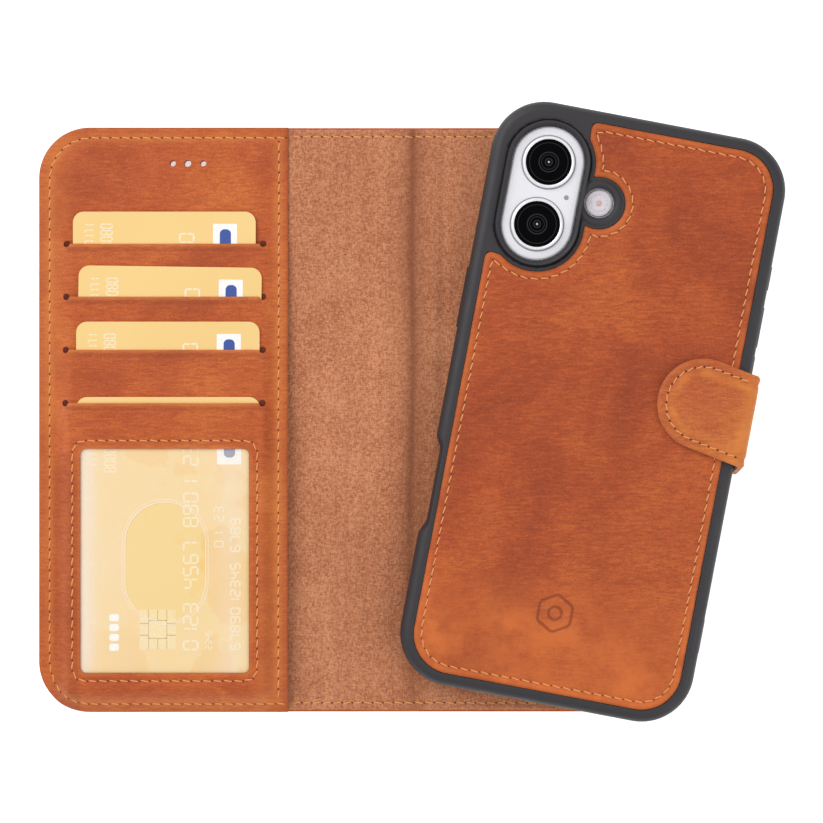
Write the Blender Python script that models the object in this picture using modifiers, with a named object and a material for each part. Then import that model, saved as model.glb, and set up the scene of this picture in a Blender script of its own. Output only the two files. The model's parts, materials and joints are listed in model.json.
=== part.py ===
"""A leather phone wallet case, lying open: a folio with card pockets, and the detachable
phone case that its closure tab wraps round. Metres, +Z up. The origin is the centre of the
back cover's outer face, which lies on the table."""

import math

import bmesh
import bpy
from mathutils import Matrix, Vector

MM = 0.001

# Folio: three panels side by side, back cover, spine and front cover.
FOLIO_HEIGHT = 173 * MM
BACK_WIDTH = 86.8 * MM
SPINE_WIDTH = 22 * MM
FRONT_WIDTH = 84.7 * MM
COVER_CORNER = 15 * MM
OUTER_LEATHER = 1.2 * MM
BOARD = 0.8 * MM
LINING = 0.6 * MM
LAYER_GAP = 0.05 * MM
BOARD_INSET = 4 * MM
THREAD_RADIUS = 0.15 * MM
THREAD_LIFT = 0.02 * MM
STITCH_INSET = 2.8 * MM
BOARD_FOLD_INSET = 1.5 * MM
MAGNET_SPREAD = (24 * MM, 52 * MM)
MAGNET_RADIUS = 7.5 * MM
DISC_ROOM = 0.3 * MM
# The disc that the closure magnet holds: from the front edge, Y, and radius.
CLOSURE_PLATE = (14 * MM, -3 * MM, 8 * MM)

# Card pocket panel on the front cover.
PANEL_WIDTH = 73.7 * MM
PANEL_LEATHER = 0.45 * MM
POCKET_BACKING = 0.2 * MM
SLOT_TOP_Y = 52 * MM
SLOT_PITCH = 15.7 * MM
SLOTS = 4
SLOT_MARGIN = 7.4 * MM
SLOT_TUCK = 1.5 * MM
SLOT_HOLE_RADIUS = 0.95 * MM
CHANNEL_END_Y = -80.5 * MM
POCKET_GAP = 0.15 * MM
POCKET_SEAM_INSET = 2.7 * MM
LINER_ROOM = 0.4 * MM
CARD_SIZE = (53.98 * MM, 85.6 * MM)
CARD_THICKNESS = 0.76 * MM
CARD_CORNER = 3.18 * MM
CARD_FLOOR = 4 * MM
# How far each card stands out of its slot, its middle in X, and its tilt in degrees.
CARD_REST = ((9.5 * MM, -112.9 * MM, 0), (8.9 * MM, -111.6 * MM, -0.8),
             (8.3 * MM, -111.6 * MM, 0), (1.8 * MM, -111.4 * MM, 0))
FILM = 0.16 * MM
FILM_REACH = 3 * MM
WINDOW = (-137.1 * MM, -87.6 * MM, -74.3 * MM, -8.5 * MM)
WINDOW_CORNER = 2 * MM
WINDOW_SEAM_INSET = 2.6 * MM
WINDOW_SEAM_CORNER = 3 * MM
# Its centre, the radius of its round ends, and half of its straight length.
THUMB_HOLE = (-112.2 * MM, -41.75 * MM, 11.7 * MM, 5.75 * MM)
SPEAKER_HOLES = ((-110.5 * MM, 0.9 * MM), (-106.1 * MM, 1.05 * MM), (-101.5 * MM, 0.9 * MM))
SPEAKER_Y = 75.9 * MM

# Phone case: local axes U across, V along, with the case turned on the open folio.
CASE_CENTRE = (13.2 * MM, 2.4 * MM)
CASE_TILT = math.radians(10.76)
CASE_HALF = (43.55 * MM, 86.8 * MM)
CASE_CORNER = 15.5 * MM
CASE_BOTTOM = 3.1 * MM
CASE_LIP = 1.2 * MM
CASE_PLATE = 1.1 * MM
CASE_RIM = 0.8 * MM
CASE_EDGE = 2.2 * MM
# A shallow recess in the left side: its depth, the V of its ends and of its floor's ends.
RECESS_DEPTH = 1.75 * MM
RECESS_ENDS = (-15 * MM, -45 * MM)
RECESS_FLOOR = (-19.2 * MM, -39.9 * MM)
PHONE_HALF = (39 * MM, 81.5 * MM)
PHONE_CORNER = 12.5 * MM
PHONE_THICKNESS = 8 * MM
PHONE_GAP = 0.15 * MM
SCREEN_GLASS = 0.9 * MM
SCREEN_BORDER = 1.6 * MM
PORT_HALF = (6.5 * MM, 2 * MM)
SOUND_SLOT_HALF = (5 * MM, 0.8 * MM)
SOUND_SLOT_U = 18 * MM
STEEL_HALF = (30 * MM, 45 * MM)
STEEL_CORNER = 2.7 * MM
STEEL_THICKNESS = 0.5 * MM
STEEL_V = -18 * MM
STEEL_ROOM = 0.3 * MM
BACK_LEATHER = 1 * MM
LEATHER_HALF = (39.6 * MM, 83 * MM)
LEATHER_CORNER = 11.7 * MM
LEATHER_ROOM = 0.2 * MM
LEATHER_SEAM_INSET = 2.2 * MM
CAMERA_CENTRE = (-26.4 * MM, 59.85 * MM)
LENS_SPREAD = 9.2 * MM
CAMERA_OPENING = 10.9 * MM
CAMERA_LIP_RADIUS = 12.6 * MM
CAMERA_LIP = 1.5 * MM
# The leather stops at these radii round the camera and the flash, and this far below
# the camera's centre in the corner beside them.
CAMERA_CUT = 13.8 * MM
CAMERA_CUT_STEP = 3.3 * MM
CAMERA_CUT_BELOW = 19.6 * MM
FLASH_CUT = 7.7 * MM
FLASH_CENTRE = (-9.7 * MM, 60.1 * MM)
FLASH_OPENING = 4.5 * MM
FLASH_LOBE = 7.2 * MM
FLASH_LIP = 0.6 * MM
FLASH_RADIUS = 3.9 * MM
FLASH_HEIGHT = 0.9 * MM
ISLAND_RADIUS = 10.45 * MM
ISLAND_HEIGHT = 1.7 * MM
LENS_RING = (7.7 * MM, 6.9 * MM)
LENS_RING_HEIGHT = 1.2 * MM
LENS_GLASS_RADIUS = 6.75 * MM
LENS_GLASS_HEIGHT = 0.9 * MM

# Button pads: how far they stand out, half their height, the room round them, and the
# side of the case and lower and upper V of each.
PAD_PROUD = 0.4 * MM
PAD_HALF_HEIGHT = 1.7 * MM
PAD_ROOM = 0.3 * MM
PAD_WALL = 1.2 * MM
PADS = (("side_button_pad", -1, 17.2 * MM, 34.9 * MM),
        ("action_button_pad", 1, 44.6 * MM, 51.5 * MM),
        ("volume_up_pad", 1, 27.5 * MM, 39.3 * MM),
        ("volume_down_pad", 1, 12.9 * MM, 24.7 * MM))

# Closure tab: one strap that folds up the side of the case and over its back.
STRAP_WIDTH = 26.5 * MM
STRAP_LEATHER = 1 * MM
STRAP_LINING = 0.95 * MM
STRAP_INNER_U = 44.15 * MM
STRAP_FOLD_V = 3.2 * MM
FLAP_LENGTH = 26.8 * MM
FOLD_GAP = 0.05 * MM
TAB_START_GAP = 0.3 * MM
TAB_TONGUE = 3.6 * MM
TAB_SEAM_INSET = 2.4 * MM
TAB_SEAM_START = 1 * MM
TAB_MAGNET_RADIUS = 5.5 * MM
TAB_MAGNET_FLOOR = 0.25 * MM

# Heights that follow.
LINING_FLOOR = OUTER_LEATHER + BOARD + 2 * LAYER_GAP
LINING_TOP = LINING_FLOOR + LINING
HALF_HEIGHT = FOLIO_HEIGHT / 2
BACK_FOLD_X = -BACK_WIDTH / 2
FRONT_FOLD_X = BACK_FOLD_X - SPINE_WIDTH
FRONT_EDGE_X = FRONT_FOLD_X - FRONT_WIDTH
BEND_ROOM = LINING_TOP + 0.25 * MM
PANEL_RIGHT_X = FRONT_EDGE_X + PANEL_WIDTH
CHANNEL_LEFT_X = FRONT_EDGE_X + SLOT_MARGIN + LINER_ROOM
CHANNEL_RIGHT_X = PANEL_RIGHT_X - SLOT_MARGIN + 0.6 * MM
PHONE_FLOOR = CASE_BOTTOM + CASE_LIP
PHONE_TOP = PHONE_FLOOR + PHONE_THICKNESS
PHONE_MIDDLE = (PHONE_FLOOR + PHONE_TOP) / 2
CASE_TOP = PHONE_TOP + LAYER_GAP + CASE_PLATE
LEATHER_TOP = CASE_TOP + LAYER_GAP + BACK_LEATHER
RIM_TOP = CASE_TOP + CASE_RIM
FLAP_FLOOR = LEATHER_TOP + 3 * THREAD_RADIUS

FACETS = 8


def new_collection(name):
    collection = bpy.data.collections.new(name)
    bpy.context.scene.collection.children.link(collection)
    return collection


for old in list(bpy.data.objects):
    bpy.data.objects.remove(old)
PARTS = new_collection("phone_wallet_case")
CUTTERS = new_collection("cutters")


def material(name, colour, roughness, metallic=0.0):
    made = bpy.data.materials.new(name)
    made.use_nodes = True
    shader = made.node_tree.nodes["Principled BSDF"]
    shader.inputs["Base Color"].default_value = (*colour, 1)
    shader.inputs["Roughness"].default_value = roughness
    shader.inputs["Metallic"].default_value = metallic
    return made


def arc(centre, radius, start, end, steps=FACETS):
    """Points on an arc, angles in degrees, both ends included."""
    angles = [math.radians(start + (end - start) * i / steps) for i in range(steps + 1)]
    return [(centre[0] + radius * math.cos(a), centre[1] + radius * math.sin(a)) for a in angles]


def rounded(x0, x1, y0, y1, bottom_left=0, bottom_right=0, top_right=0, top_left=0):
    """A rectangle's outline, anticlockwise, each corner with its own radius."""
    corners = ((x0, y0, 1, 1, bottom_left, 180), (x1, y0, -1, 1, bottom_right, 270),
               (x1, y1, -1, -1, top_right, 0), (x0, y1, 1, -1, top_left, 90))
    points = []
    for x, y, along, up, radius, start in corners:
        if radius:
            points += arc((x + along * radius, y + up * radius), radius, start, start + 90)
        else:
            points.append((x, y))
    return points


def evenly_rounded(half_u, half_v, radius):
    return rounded(-half_u, half_u, -half_v, half_v, radius, radius, radius, radius)


def stadium(centre, radius, half_length):
    """A slot with round ends, standing along the second axis."""
    x, y = centre
    return (arc((x, y + half_length), radius, 0, 180, 2 * FACETS)
            + arc((x, y - half_length), radius, 180, 360, 2 * FACETS))


def circle(centre, radius, steps=4 * FACETS):
    return arc(centre, radius, 0, 360, steps)[:-1]


def frame_of(origin, first=(1, 0, 0), second=(0, 1, 0)):
    """A matrix whose first two axes are given and whose third is square to them."""
    a, b = Vector(first), Vector(second)
    c = a.cross(b)
    turned = Matrix((a, b, c)).transposed().to_4x4()
    return Matrix.Translation(origin) @ turned


def mesh_object(name, curve_object):
    """Turns a curve object into a welded mesh object of the given name."""
    bpy.context.view_layer.update()
    graph = bpy.context.evaluated_depsgraph_get()
    mesh = bpy.data.meshes.new_from_object(curve_object.evaluated_get(graph))
    mesh.name = name
    data = bmesh.new()
    data.from_mesh(mesh)
    bmesh.ops.remove_doubles(data, verts=data.verts, dist=1e-6)
    bmesh.ops.recalc_face_normals(data, faces=data.faces)
    data.to_mesh(mesh)
    data.free()
    made = bpy.data.objects.new(name, mesh)
    made.matrix_world = curve_object.matrix_world
    bpy.data.objects.remove(curve_object)
    return made


def plate(name, outline, low, high, look=None, axes=None):
    """A flat sheet: an outline filled and extruded from low to high along the third axis."""
    curve = bpy.data.curves.new(name, "CURVE")
    curve.dimensions = "2D"
    curve.fill_mode = "BOTH"
    curve.extrude = (high - low) / 2
    spline = curve.splines.new("POLY")
    spline.points.add(len(outline) - 1)
    for point, (x, y) in zip(spline.points, outline):
        point.co = (x, y, 0, 1)
    spline.use_cyclic_u = True
    guide = bpy.data.objects.new(name + "_outline", curve)
    bpy.context.scene.collection.objects.link(guide)
    middle = Matrix.Translation((0, 0, (low + high) / 2))
    guide.matrix_world = (axes or Matrix()) @ middle
    made = mesh_object(name, guide)
    return finish(made, look)


def finish(made, look):
    """Files an object as a part with a material, or as a cutter when it has none."""
    if look is None:
        CUTTERS.objects.link(made)
        made.hide_render = True
        made.display_type = "WIRE"
    else:
        PARTS.objects.link(made)
        made.data.materials.clear()
        made.data.materials.append(look)
    return made


def cord(name, path, look, closed=False, axes=None):
    """A run of sewing thread along a path of 3D points."""
    curve = bpy.data.curves.new(name, "CURVE")
    curve.dimensions = "3D"
    curve.bevel_depth = THREAD_RADIUS
    curve.bevel_resolution = 0
    curve.use_fill_caps = not closed
    spline = curve.splines.new("POLY")
    spline.points.add(len(path) - 1)
    for point, place in zip(spline.points, path):
        point.co = (*place, 1)
    spline.use_cyclic_u = closed
    guide = bpy.data.objects.new(name + "_path", curve)
    bpy.context.scene.collection.objects.link(guide)
    guide.matrix_world = axes or Matrix()
    return finish(mesh_object(name, guide), look)


def boolean(target, other, operation="DIFFERENCE"):
    step = target.modifiers.new(operation.lower() + "_" + other.name, "BOOLEAN")
    step.operation = operation
    step.solver = "EXACT"
    step.object = other
    return target


def cut_all(targets, cutters):
    for target in targets:
        for cutter in cutters:
            boolean(target, cutter)


def round_edges(target, width, segments=3):
    bevel = target.modifiers.new("round_edges", "BEVEL")
    bevel.width = width
    bevel.segments = segments
    bevel.limit_method = "ANGLE"
    bevel.angle_limit = math.radians(50)


def pivot(name, matrix, parts):
    """An empty on a joint's axis that carries its parts where they already are."""
    empty = bpy.data.objects.new(name + "_pivot", None)
    PARTS.objects.link(empty)
    empty.matrix_world = matrix
    for made in parts:
        made.parent = empty
        made.matrix_parent_inverse = matrix.inverted()
    return empty


LEATHER = material("pull_up_leather", (0.56, 0.16, 0.05), 0.45)
FABRIC = material("microfibre_lining", (0.42, 0.19, 0.10), 0.9)
CARDBOARD = material("grey_board", (0.35, 0.32, 0.28), 0.9)
THREAD = material("waxed_thread", (0.80, 0.38, 0.12), 0.7)
MAGNET = material("nickel_magnet", (0.62, 0.62, 0.62), 0.3, 1.0)
TPU = material("black_tpu", (0.035, 0.033, 0.036), 0.6)
CARD = material("gold_card", (0.86, 0.60, 0.22), 0.4)
CLEAR = material("clear_film", (0.9, 0.9, 0.9), 0.1)
SILVER = material("white_glass", (0.82, 0.83, 0.85), 0.2)
CHROME = material("polished_ring", (0.7, 0.7, 0.72), 0.2, 1.0)
GLASS = material("dark_glass", (0.01, 0.01, 0.015), 0.05)


# ---------------------------------------------------------------- folio covers
def folio_panel(prefix, x0, x1, left_round, right_round):
    """Outer leather, board and lining of one rigid panel; the outer edges are round."""
    left = COVER_CORNER if left_round else 0
    right = COVER_CORNER if right_round else 0
    outline = rounded(x0, x1, -HALF_HEIGHT, HALF_HEIGHT, left, right, right, left)
    made = [plate(prefix + "_leather", outline, 0, OUTER_LEATHER, LEATHER),
            plate(prefix + "_lining", outline, LINING_FLOOR, LINING_TOP, FABRIC)]
    inner_left = BOARD_INSET if left_round else BOARD_FOLD_INSET
    inner_right = BOARD_INSET if right_round else BOARD_FOLD_INSET
    left = left - BOARD_INSET if left_round else 0
    right = right - BOARD_INSET if right_round else 0
    inner = rounded(x0 + inner_left, x1 - inner_right, BOARD_INSET - HALF_HEIGHT,
                    HALF_HEIGHT - BOARD_INSET, left, right, right, left)
    floor = OUTER_LEATHER + LAYER_GAP
    name = "spine_stiffener" if prefix == "spine" else prefix + "_board"
    made.append(plate(name, inner, floor, floor + BOARD, CARDBOARD))
    return made


def discs_in_board(board, names, centres, radius):
    """Magnets or steel discs let into a board, each in a hole with a little room."""
    floor = OUTER_LEATHER + LAYER_GAP
    made = []
    for name, centre in zip(names, centres):
        made.append(plate(name, circle(centre, radius), floor, floor + BOARD, MAGNET))
        hole = plate(name + "_hole", circle(centre, radius + DISC_ROOM), 0, 2 * LINING_TOP)
        boolean(board, hole)
    return made


def thread_height(surface):
    return surface + THREAD_RADIUS + THREAD_LIFT


back_leather, back_lining, back_board = back = folio_panel(
    "back", BACK_FOLD_X, -BACK_FOLD_X, False, True)
MAGNET_PLACES = [(a * MAGNET_SPREAD[0], b * MAGNET_SPREAD[1]) for a in (-1, 1) for b in (1, -1)]
back += discs_in_board(back_board, ["folio_magnet_%d" % (i + 1) for i in range(4)],
                       MAGNET_PLACES, MAGNET_RADIUS)

run_y = HALF_HEIGHT - STITCH_INSET
run_x = -BACK_FOLD_X - STITCH_INSET
turn = COVER_CORNER - STITCH_INSET
thread_gap = 1 * MM
back_run = [(BACK_FOLD_X + thread_gap, -run_y)]
back_run += arc((run_x - turn, turn - run_y), turn, -90, 0)
back_run += arc((run_x - turn, run_y - turn), turn, 0, 90)
back_run += [(BACK_FOLD_X + thread_gap, run_y)]
back += [cord("back_edge_thread", [(x, y, thread_height(LINING_TOP)) for x, y in back_run],
              THREAD)]

SPINE_LEFT_X = FRONT_FOLD_X + BEND_ROOM
SPINE_RIGHT_X = BACK_FOLD_X - BEND_ROOM
spine = folio_panel("spine", SPINE_LEFT_X, SPINE_RIGHT_X, False, False)
for end, side in (("top", 1), ("bottom", -1)):
    ends = [(x, side * run_y, thread_height(LINING_TOP))
            for x in (SPINE_LEFT_X + thread_gap / 2, SPINE_RIGHT_X - thread_gap / 2)]
    spine.append(cord("spine_thread_" + end, ends, THREAD))

front_leather, front_lining, front_board = front = folio_panel(
    "front", FRONT_EDGE_X, FRONT_FOLD_X, True, False)
front += discs_in_board(front_board, ["closure_plate"],
                        [(FRONT_EDGE_X + CLOSURE_PLATE[0], CLOSURE_PLATE[1])],
                        CLOSURE_PLATE[2])


# ---------------------------------------------------------------- card pockets
def slot_y(k):
    """The height on the panel of slot k, where slot 1 is the top one."""
    return SLOT_TOP_Y - (k - 1) * SLOT_PITCH


PANEL_FLOOR = LINING_TOP + POCKET_GAP + POCKET_BACKING + LAYER_GAP
PITCH = CARD_THICKNESS + PANEL_LEATHER + 2 * LAYER_GAP


def card_floor(k):
    return CARD_FLOOR + (k - 1) * PITCH


def strip_floor(k):
    """The underside of the strip of leather above slot k; the last lies on the film."""
    if k == 1:
        return PANEL_FLOOR
    above_film = FILM + LAYER_GAP if k == SLOTS + 1 else 0
    return card_floor(k - 1) + CARD_THICKNESS + LAYER_GAP + above_film


def strip_span(k):
    """The lower and upper Y of strip k, which reaches a little under its card."""
    low = slot_y(k) - SLOT_TUCK if k <= SLOTS else -HALF_HEIGHT
    high = slot_y(k - 1) if k > 1 else HALF_HEIGHT
    return low, high


PANEL_TOP = strip_floor(SLOTS + 1) + PANEL_LEATHER


def stair(x0, x1, name):
    """A side margin of the panel: a staircase under the ends of all the strips."""
    outline = [(PANEL_FLOOR, -HALF_HEIGHT), (PANEL_FLOOR, HALF_HEIGHT)]
    for k in range(1, SLOTS + 2):
        top = strip_floor(k) + PANEL_LEATHER - 0.1 * MM
        high = strip_span(k)[1]
        low = slot_y(k) if k <= SLOTS else -HALF_HEIGHT
        outline += [(top, high), (top, low)]
    outline = [(y, z) for z, y in outline]
    axes = frame_of((0, 0, 0), (0, 1, 0), (0, 0, 1))
    return plate(name, outline, x0, x1, None, axes)


def pocket_panel():
    """One leather panel: five stepped strips joined along the sides and the bottom."""
    edge = 1.5 * MM
    left, right = FRONT_EDGE_X, PANEL_RIGHT_X
    low, high = strip_span(1)
    panel = plate("pocket_leather", rounded(left, right, low, high), strip_floor(1),
                  strip_floor(1) + PANEL_LEATHER, LEATHER)
    pieces = [stair(left, CHANNEL_LEFT_X, "left_margin"),
              stair(CHANNEL_RIGHT_X, right, "right_margin"),
              plate("bottom_margin", rounded(left + edge, right - edge, -HALF_HEIGHT,
                                             CHANNEL_END_Y),
                    PANEL_FLOOR, PANEL_TOP - 0.2 * MM)]
    for k in range(2, SLOTS + 2):
        low, high = strip_span(k)
        low = low + edge if k > SLOTS else low
        pieces.append(plate("strip_%d" % k, rounded(left + edge, right - edge, low, high),
                            strip_floor(k), strip_floor(k) + PANEL_LEATHER))
    for piece in pieces:
        boolean(panel, piece, "UNION")
    outline = rounded(left, right, -HALF_HEIGHT, HALF_HEIGHT, COVER_CORNER, 0, 0, COVER_CORNER)
    boolean(panel, plate("panel_blank", outline, 0, 2 * PANEL_TOP), "INTERSECT")
    opening = rounded(*WINDOW, *[WINDOW_CORNER] * 4)
    boolean(panel, plate("window_opening", opening, 0.9 * PANEL_TOP, 2 * PANEL_TOP))
    for k in range(1, SLOTS + 1):
        for x in (CHANNEL_LEFT_X + LINER_ROOM, CHANNEL_RIGHT_X - LINER_ROOM):
            hole = circle((x, slot_y(k)), SLOT_HOLE_RADIUS, 2 * FACETS)
            boolean(panel, plate("slot_hole", hole, 0, 2 * PANEL_TOP))
    return panel


def round_window(reach, corner):
    """An outline round the window, this far out from it."""
    x0, x1, y0, y1 = WINDOW
    return rounded(x0 - reach, x1 + reach, y0 - reach, y1 + reach, *[corner] * 4)


def film():
    sheet = plate("window_film", round_window(FILM_REACH, 0),
                  strip_floor(SLOTS + 1) - LAYER_GAP - FILM,
                  strip_floor(SLOTS + 1) - LAYER_GAP, CLEAR)
    x, y, radius, half_length = THUMB_HOLE
    boolean(sheet, plate("thumb_opening", stadium((x, y), radius, half_length), 0,
                         2 * PANEL_TOP))
    return sheet


pocket_leather = pocket_panel()
backing_outline = rounded(FRONT_EDGE_X, PANEL_RIGHT_X, -HALF_HEIGHT, HALF_HEIGHT,
                          COVER_CORNER, 0, 0, COVER_CORNER)
pocket_backing = plate("pocket_backing", backing_outline,
                       PANEL_FLOOR - LAYER_GAP - POCKET_BACKING, PANEL_FLOOR - LAYER_GAP,
                       FABRIC)
front += [pocket_leather, pocket_backing, film()]
for k in range(1, SLOTS):
    liner = rounded(CHANNEL_LEFT_X + LINER_ROOM, CHANNEL_RIGHT_X - LINER_ROOM,
                    CHANNEL_END_Y + LINER_ROOM, slot_y(k + 1) - SLOT_TUCK - 0.5 * MM)
    front.append(plate("pocket_liner_%d" % k, liner, strip_floor(k + 1),
                       strip_floor(k + 1) + PANEL_LEATHER, FABRIC))

speaker_holes = [plate("speaker_hole_%d" % i, circle((x, SPEAKER_Y), r, 2 * FACETS),
                       -PANEL_TOP, 2 * PANEL_TOP) for i, (x, r) in enumerate(SPEAKER_HOLES)]
cut_all([front_leather, front_board, front_lining, pocket_backing, pocket_leather],
        speaker_holes)


def surface_at(y):
    """The top of the pocket panel's margin at a height on the panel."""
    for k in range(1, SLOTS + 1):
        if y > slot_y(k):
            return strip_floor(k) + PANEL_LEATHER
    return PANEL_TOP


def laid(points):
    """Lays a path of XY points on the pocket panel."""
    return [(x, y, thread_height(surface_at(y))) for x, y in points]


def stepped_run(x, high, low):
    """A run down the panel at one X; the thread steps up just before each slot's edge."""
    clear = 0.6 * MM
    run = laid([(x, high)])
    for k in range(1, SLOTS + 1):
        before, after = slot_y(k) + clear, slot_y(k) - clear
        run += laid([(x, before)])
        run.append((x, before, thread_height(surface_at(after))))
    return run + laid([(x, low)])


left_x = FRONT_EDGE_X + STITCH_INSET
end_x = PANEL_RIGHT_X - thread_gap / 2
front_run = laid([(end_x, run_y)] + arc((left_x + turn, run_y - turn), turn, 90, 170))
front_run += stepped_run(left_x, run_y - turn, turn - run_y)
front_run += laid(arc((left_x + turn, turn - run_y), turn, 190, 270) + [(end_x, -run_y)])
front.append(cord("front_edge_thread", front_run, THREAD))
side_x = PANEL_RIGHT_X - POCKET_SEAM_INSET
side_end = run_y - 2 * thread_gap
front.append(cord("pocket_side_thread", stepped_run(side_x, side_end, -side_end), THREAD))
window_run = round_window(WINDOW_SEAM_INSET, WINDOW_SEAM_CORNER)
front.append(cord("window_thread", laid(window_run), THREAD, closed=True))

# ---------------------------------------------------------------- cards
cards = []
for k, (stands_out, x, tilt) in enumerate(CARD_REST, 1):
    half_x, half_y = CARD_SIZE[0] / 2, CARD_SIZE[1] / 2
    place = Matrix.Translation((x, slot_y(k) + stands_out - half_y, 0))
    card = plate("card_%d" % k, evenly_rounded(half_x, half_y, CARD_CORNER), card_floor(k),
                 card_floor(k) + CARD_THICKNESS, CARD,
                 place @ Matrix.Rotation(math.radians(tilt), 4, "Z"))
    cards.append(card)

# ---------------------------------------------------------------- phone case
CASE = Matrix.Translation((*CASE_CENTRE, 0)) @ Matrix.Rotation(-CASE_TILT, 4, "Z")


def camera_zone(name, shrink, low, high):
    """Cutters that keep the leather, or its recess, off the camera corner."""
    u, v = CAMERA_CENTRE
    radius = CAMERA_CUT - shrink
    beyond_u, beyond_v = -2 * CASE_HALF[0], 2 * CASE_HALF[1]
    top = rounded(beyond_u, u + radius - CAMERA_CUT_STEP, v, beyond_v)
    side = rounded(beyond_u, u, v - CAMERA_CUT_BELOW + shrink, beyond_v)
    return [plate(name + "_round", stadium((u, v), radius, LENS_SPREAD), low, high, None, CASE),
            plate(name + "_top", top, low, high, None, CASE),
            plate(name + "_side", side, low, high, None, CASE),
            plate(name + "_flash", circle(FLASH_CENTRE, FLASH_CUT - shrink), low, high, None,
                  CASE)]


def case_outline():
    """The bumper's outline: a rounded rectangle with a shallow recess in its left side."""
    half_u, half_v = CASE_HALF
    floor_u = RECESS_DEPTH - half_u
    recess = [(-half_u, RECESS_ENDS[0]), (floor_u, RECESS_FLOOR[0]),
              (floor_u, RECESS_FLOOR[1]), (-half_u, RECESS_ENDS[1])]
    return evenly_rounded(half_u, half_v, CASE_CORNER) + recess


def end_opening(name, u, half):
    """A cutter through the case's bottom end, centred on the phone's thickness."""
    outline = rounded(u - half[0], u + half[0], -1.1 * CASE_HALF[1], -0.9 * CASE_HALF[1])
    return plate(name, outline, PHONE_MIDDLE - half[1], PHONE_MIDDLE + half[1], None, CASE)


def case_shell():
    shell = plate("case_shell", case_outline(), CASE_BOTTOM, RIM_TOP, TPU, CASE)
    round_edges(shell, CASE_EDGE)
    lip_root = CASE_TOP - CASE_PLATE / 2
    lip = plate("camera_lip", stadium(CAMERA_CENTRE, CAMERA_LIP_RADIUS, LENS_SPREAD), lip_root,
                RIM_TOP + CAMERA_LIP, None, CASE)
    lobe = plate("flash_lobe", circle(FLASH_CENTRE, FLASH_LOBE), lip_root - LAYER_GAP,
                 RIM_TOP + FLASH_LIP, None, CASE)
    leather_bed = plate("leather_bed", evenly_rounded(
        LEATHER_HALF[0] + LEATHER_ROOM, LEATHER_HALF[1] + LEATHER_ROOM,
        LEATHER_CORNER + LEATHER_ROOM), CASE_TOP, 2 * RIM_TOP, None, CASE)
    for zone in camera_zone("bed_zone", LEATHER_ROOM, 0, 3 * RIM_TOP):
        boolean(leather_bed, zone)
    steel_bed = plate("steel_bed", evenly_rounded(
        STEEL_HALF[0] + STEEL_ROOM, STEEL_HALF[1] + STEEL_ROOM, STEEL_CORNER + STEEL_ROOM),
        CASE_TOP - STEEL_THICKNESS - LAYER_GAP, RIM_TOP, None,
        CASE @ Matrix.Translation((0, STEEL_V, 0)))
    boolean(shell, leather_bed)
    boolean(shell, steel_bed)
    boolean(shell, lip, "UNION")
    boolean(shell, lobe, "UNION")
    room = plate("phone_room", evenly_rounded(
        PHONE_HALF[0] + PHONE_GAP, PHONE_HALF[1] + PHONE_GAP, PHONE_CORNER),
        PHONE_FLOOR - LAYER_GAP, PHONE_TOP + LAYER_GAP, None, CASE)
    screen = plate("screen_opening", evenly_rounded(
        PHONE_HALF[0] - SCREEN_BORDER, PHONE_HALF[1] - SCREEN_BORDER,
        PHONE_CORNER - SCREEN_BORDER), 0, PHONE_FLOOR + SCREEN_GLASS, None, CASE)
    under_plate = CASE_TOP - 2 * CASE_PLATE
    camera = plate("camera_opening", stadium(CAMERA_CENTRE, CAMERA_OPENING, LENS_SPREAD),
                   under_plate, 2 * RIM_TOP, None, CASE)
    flash = plate("flash_opening", circle(FLASH_CENTRE, FLASH_OPENING), under_plate,
                  2 * RIM_TOP, None, CASE)
    openings = [end_opening("port_opening", 0, PORT_HALF)]
    for name, u in (("left_sound_slot", -SOUND_SLOT_U), ("right_sound_slot", SOUND_SLOT_U)):
        openings.append(end_opening(name, u, SOUND_SLOT_HALF))
    cut_all([shell], [room, screen, camera, flash, *openings])
    return shell


shell = case_shell()
case_leather = plate("case_back_leather", evenly_rounded(*LEATHER_HALF, LEATHER_CORNER),
                     CASE_TOP + LAYER_GAP, LEATHER_TOP, LEATHER, CASE)
cut_all([case_leather], camera_zone("leather_zone", 0, 0, 3 * RIM_TOP))
steel_plate = plate("case_steel_plate", evenly_rounded(*STEEL_HALF, STEEL_CORNER),
                    CASE_TOP - STEEL_THICKNESS, CASE_TOP, MAGNET,
                    CASE @ Matrix.Translation((0, STEEL_V, 0)))


def leather_thread():
    """The seam round the case's leather: the edge, then round the camera corner."""
    inset = LEATHER_SEAM_INSET
    half_u, half_v = LEATHER_HALF[0] - inset, LEATHER_HALF[1] - inset
    radius = LEATHER_CORNER - inset
    u, v = CAMERA_CENTRE
    ring = CAMERA_CUT + inset
    lobe = FLASH_CUT + inset
    path = [(u + ring - CAMERA_CUT_STEP, half_v)]
    path += arc((half_u - radius, half_v - radius), radius, 90, 0)
    path += arc((half_u - radius, radius - half_v), radius, 0, -90)
    path += arc((radius - half_u, radius - half_v), radius, -90, -180)
    path += [(-half_u, v - CAMERA_CUT_BELOW - inset)]
    path += [(u - ring / 2, v - CAMERA_CUT_BELOW - inset)]
    path += arc((u, v - LENS_SPREAD), ring, -100, -6)
    path += arc(FLASH_CENTRE, lobe, -94, 94)
    height = thread_height(LEATHER_TOP)
    return cord("case_thread", [(a, b, height) for a, b in path], THREAD, True, CASE)


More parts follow.
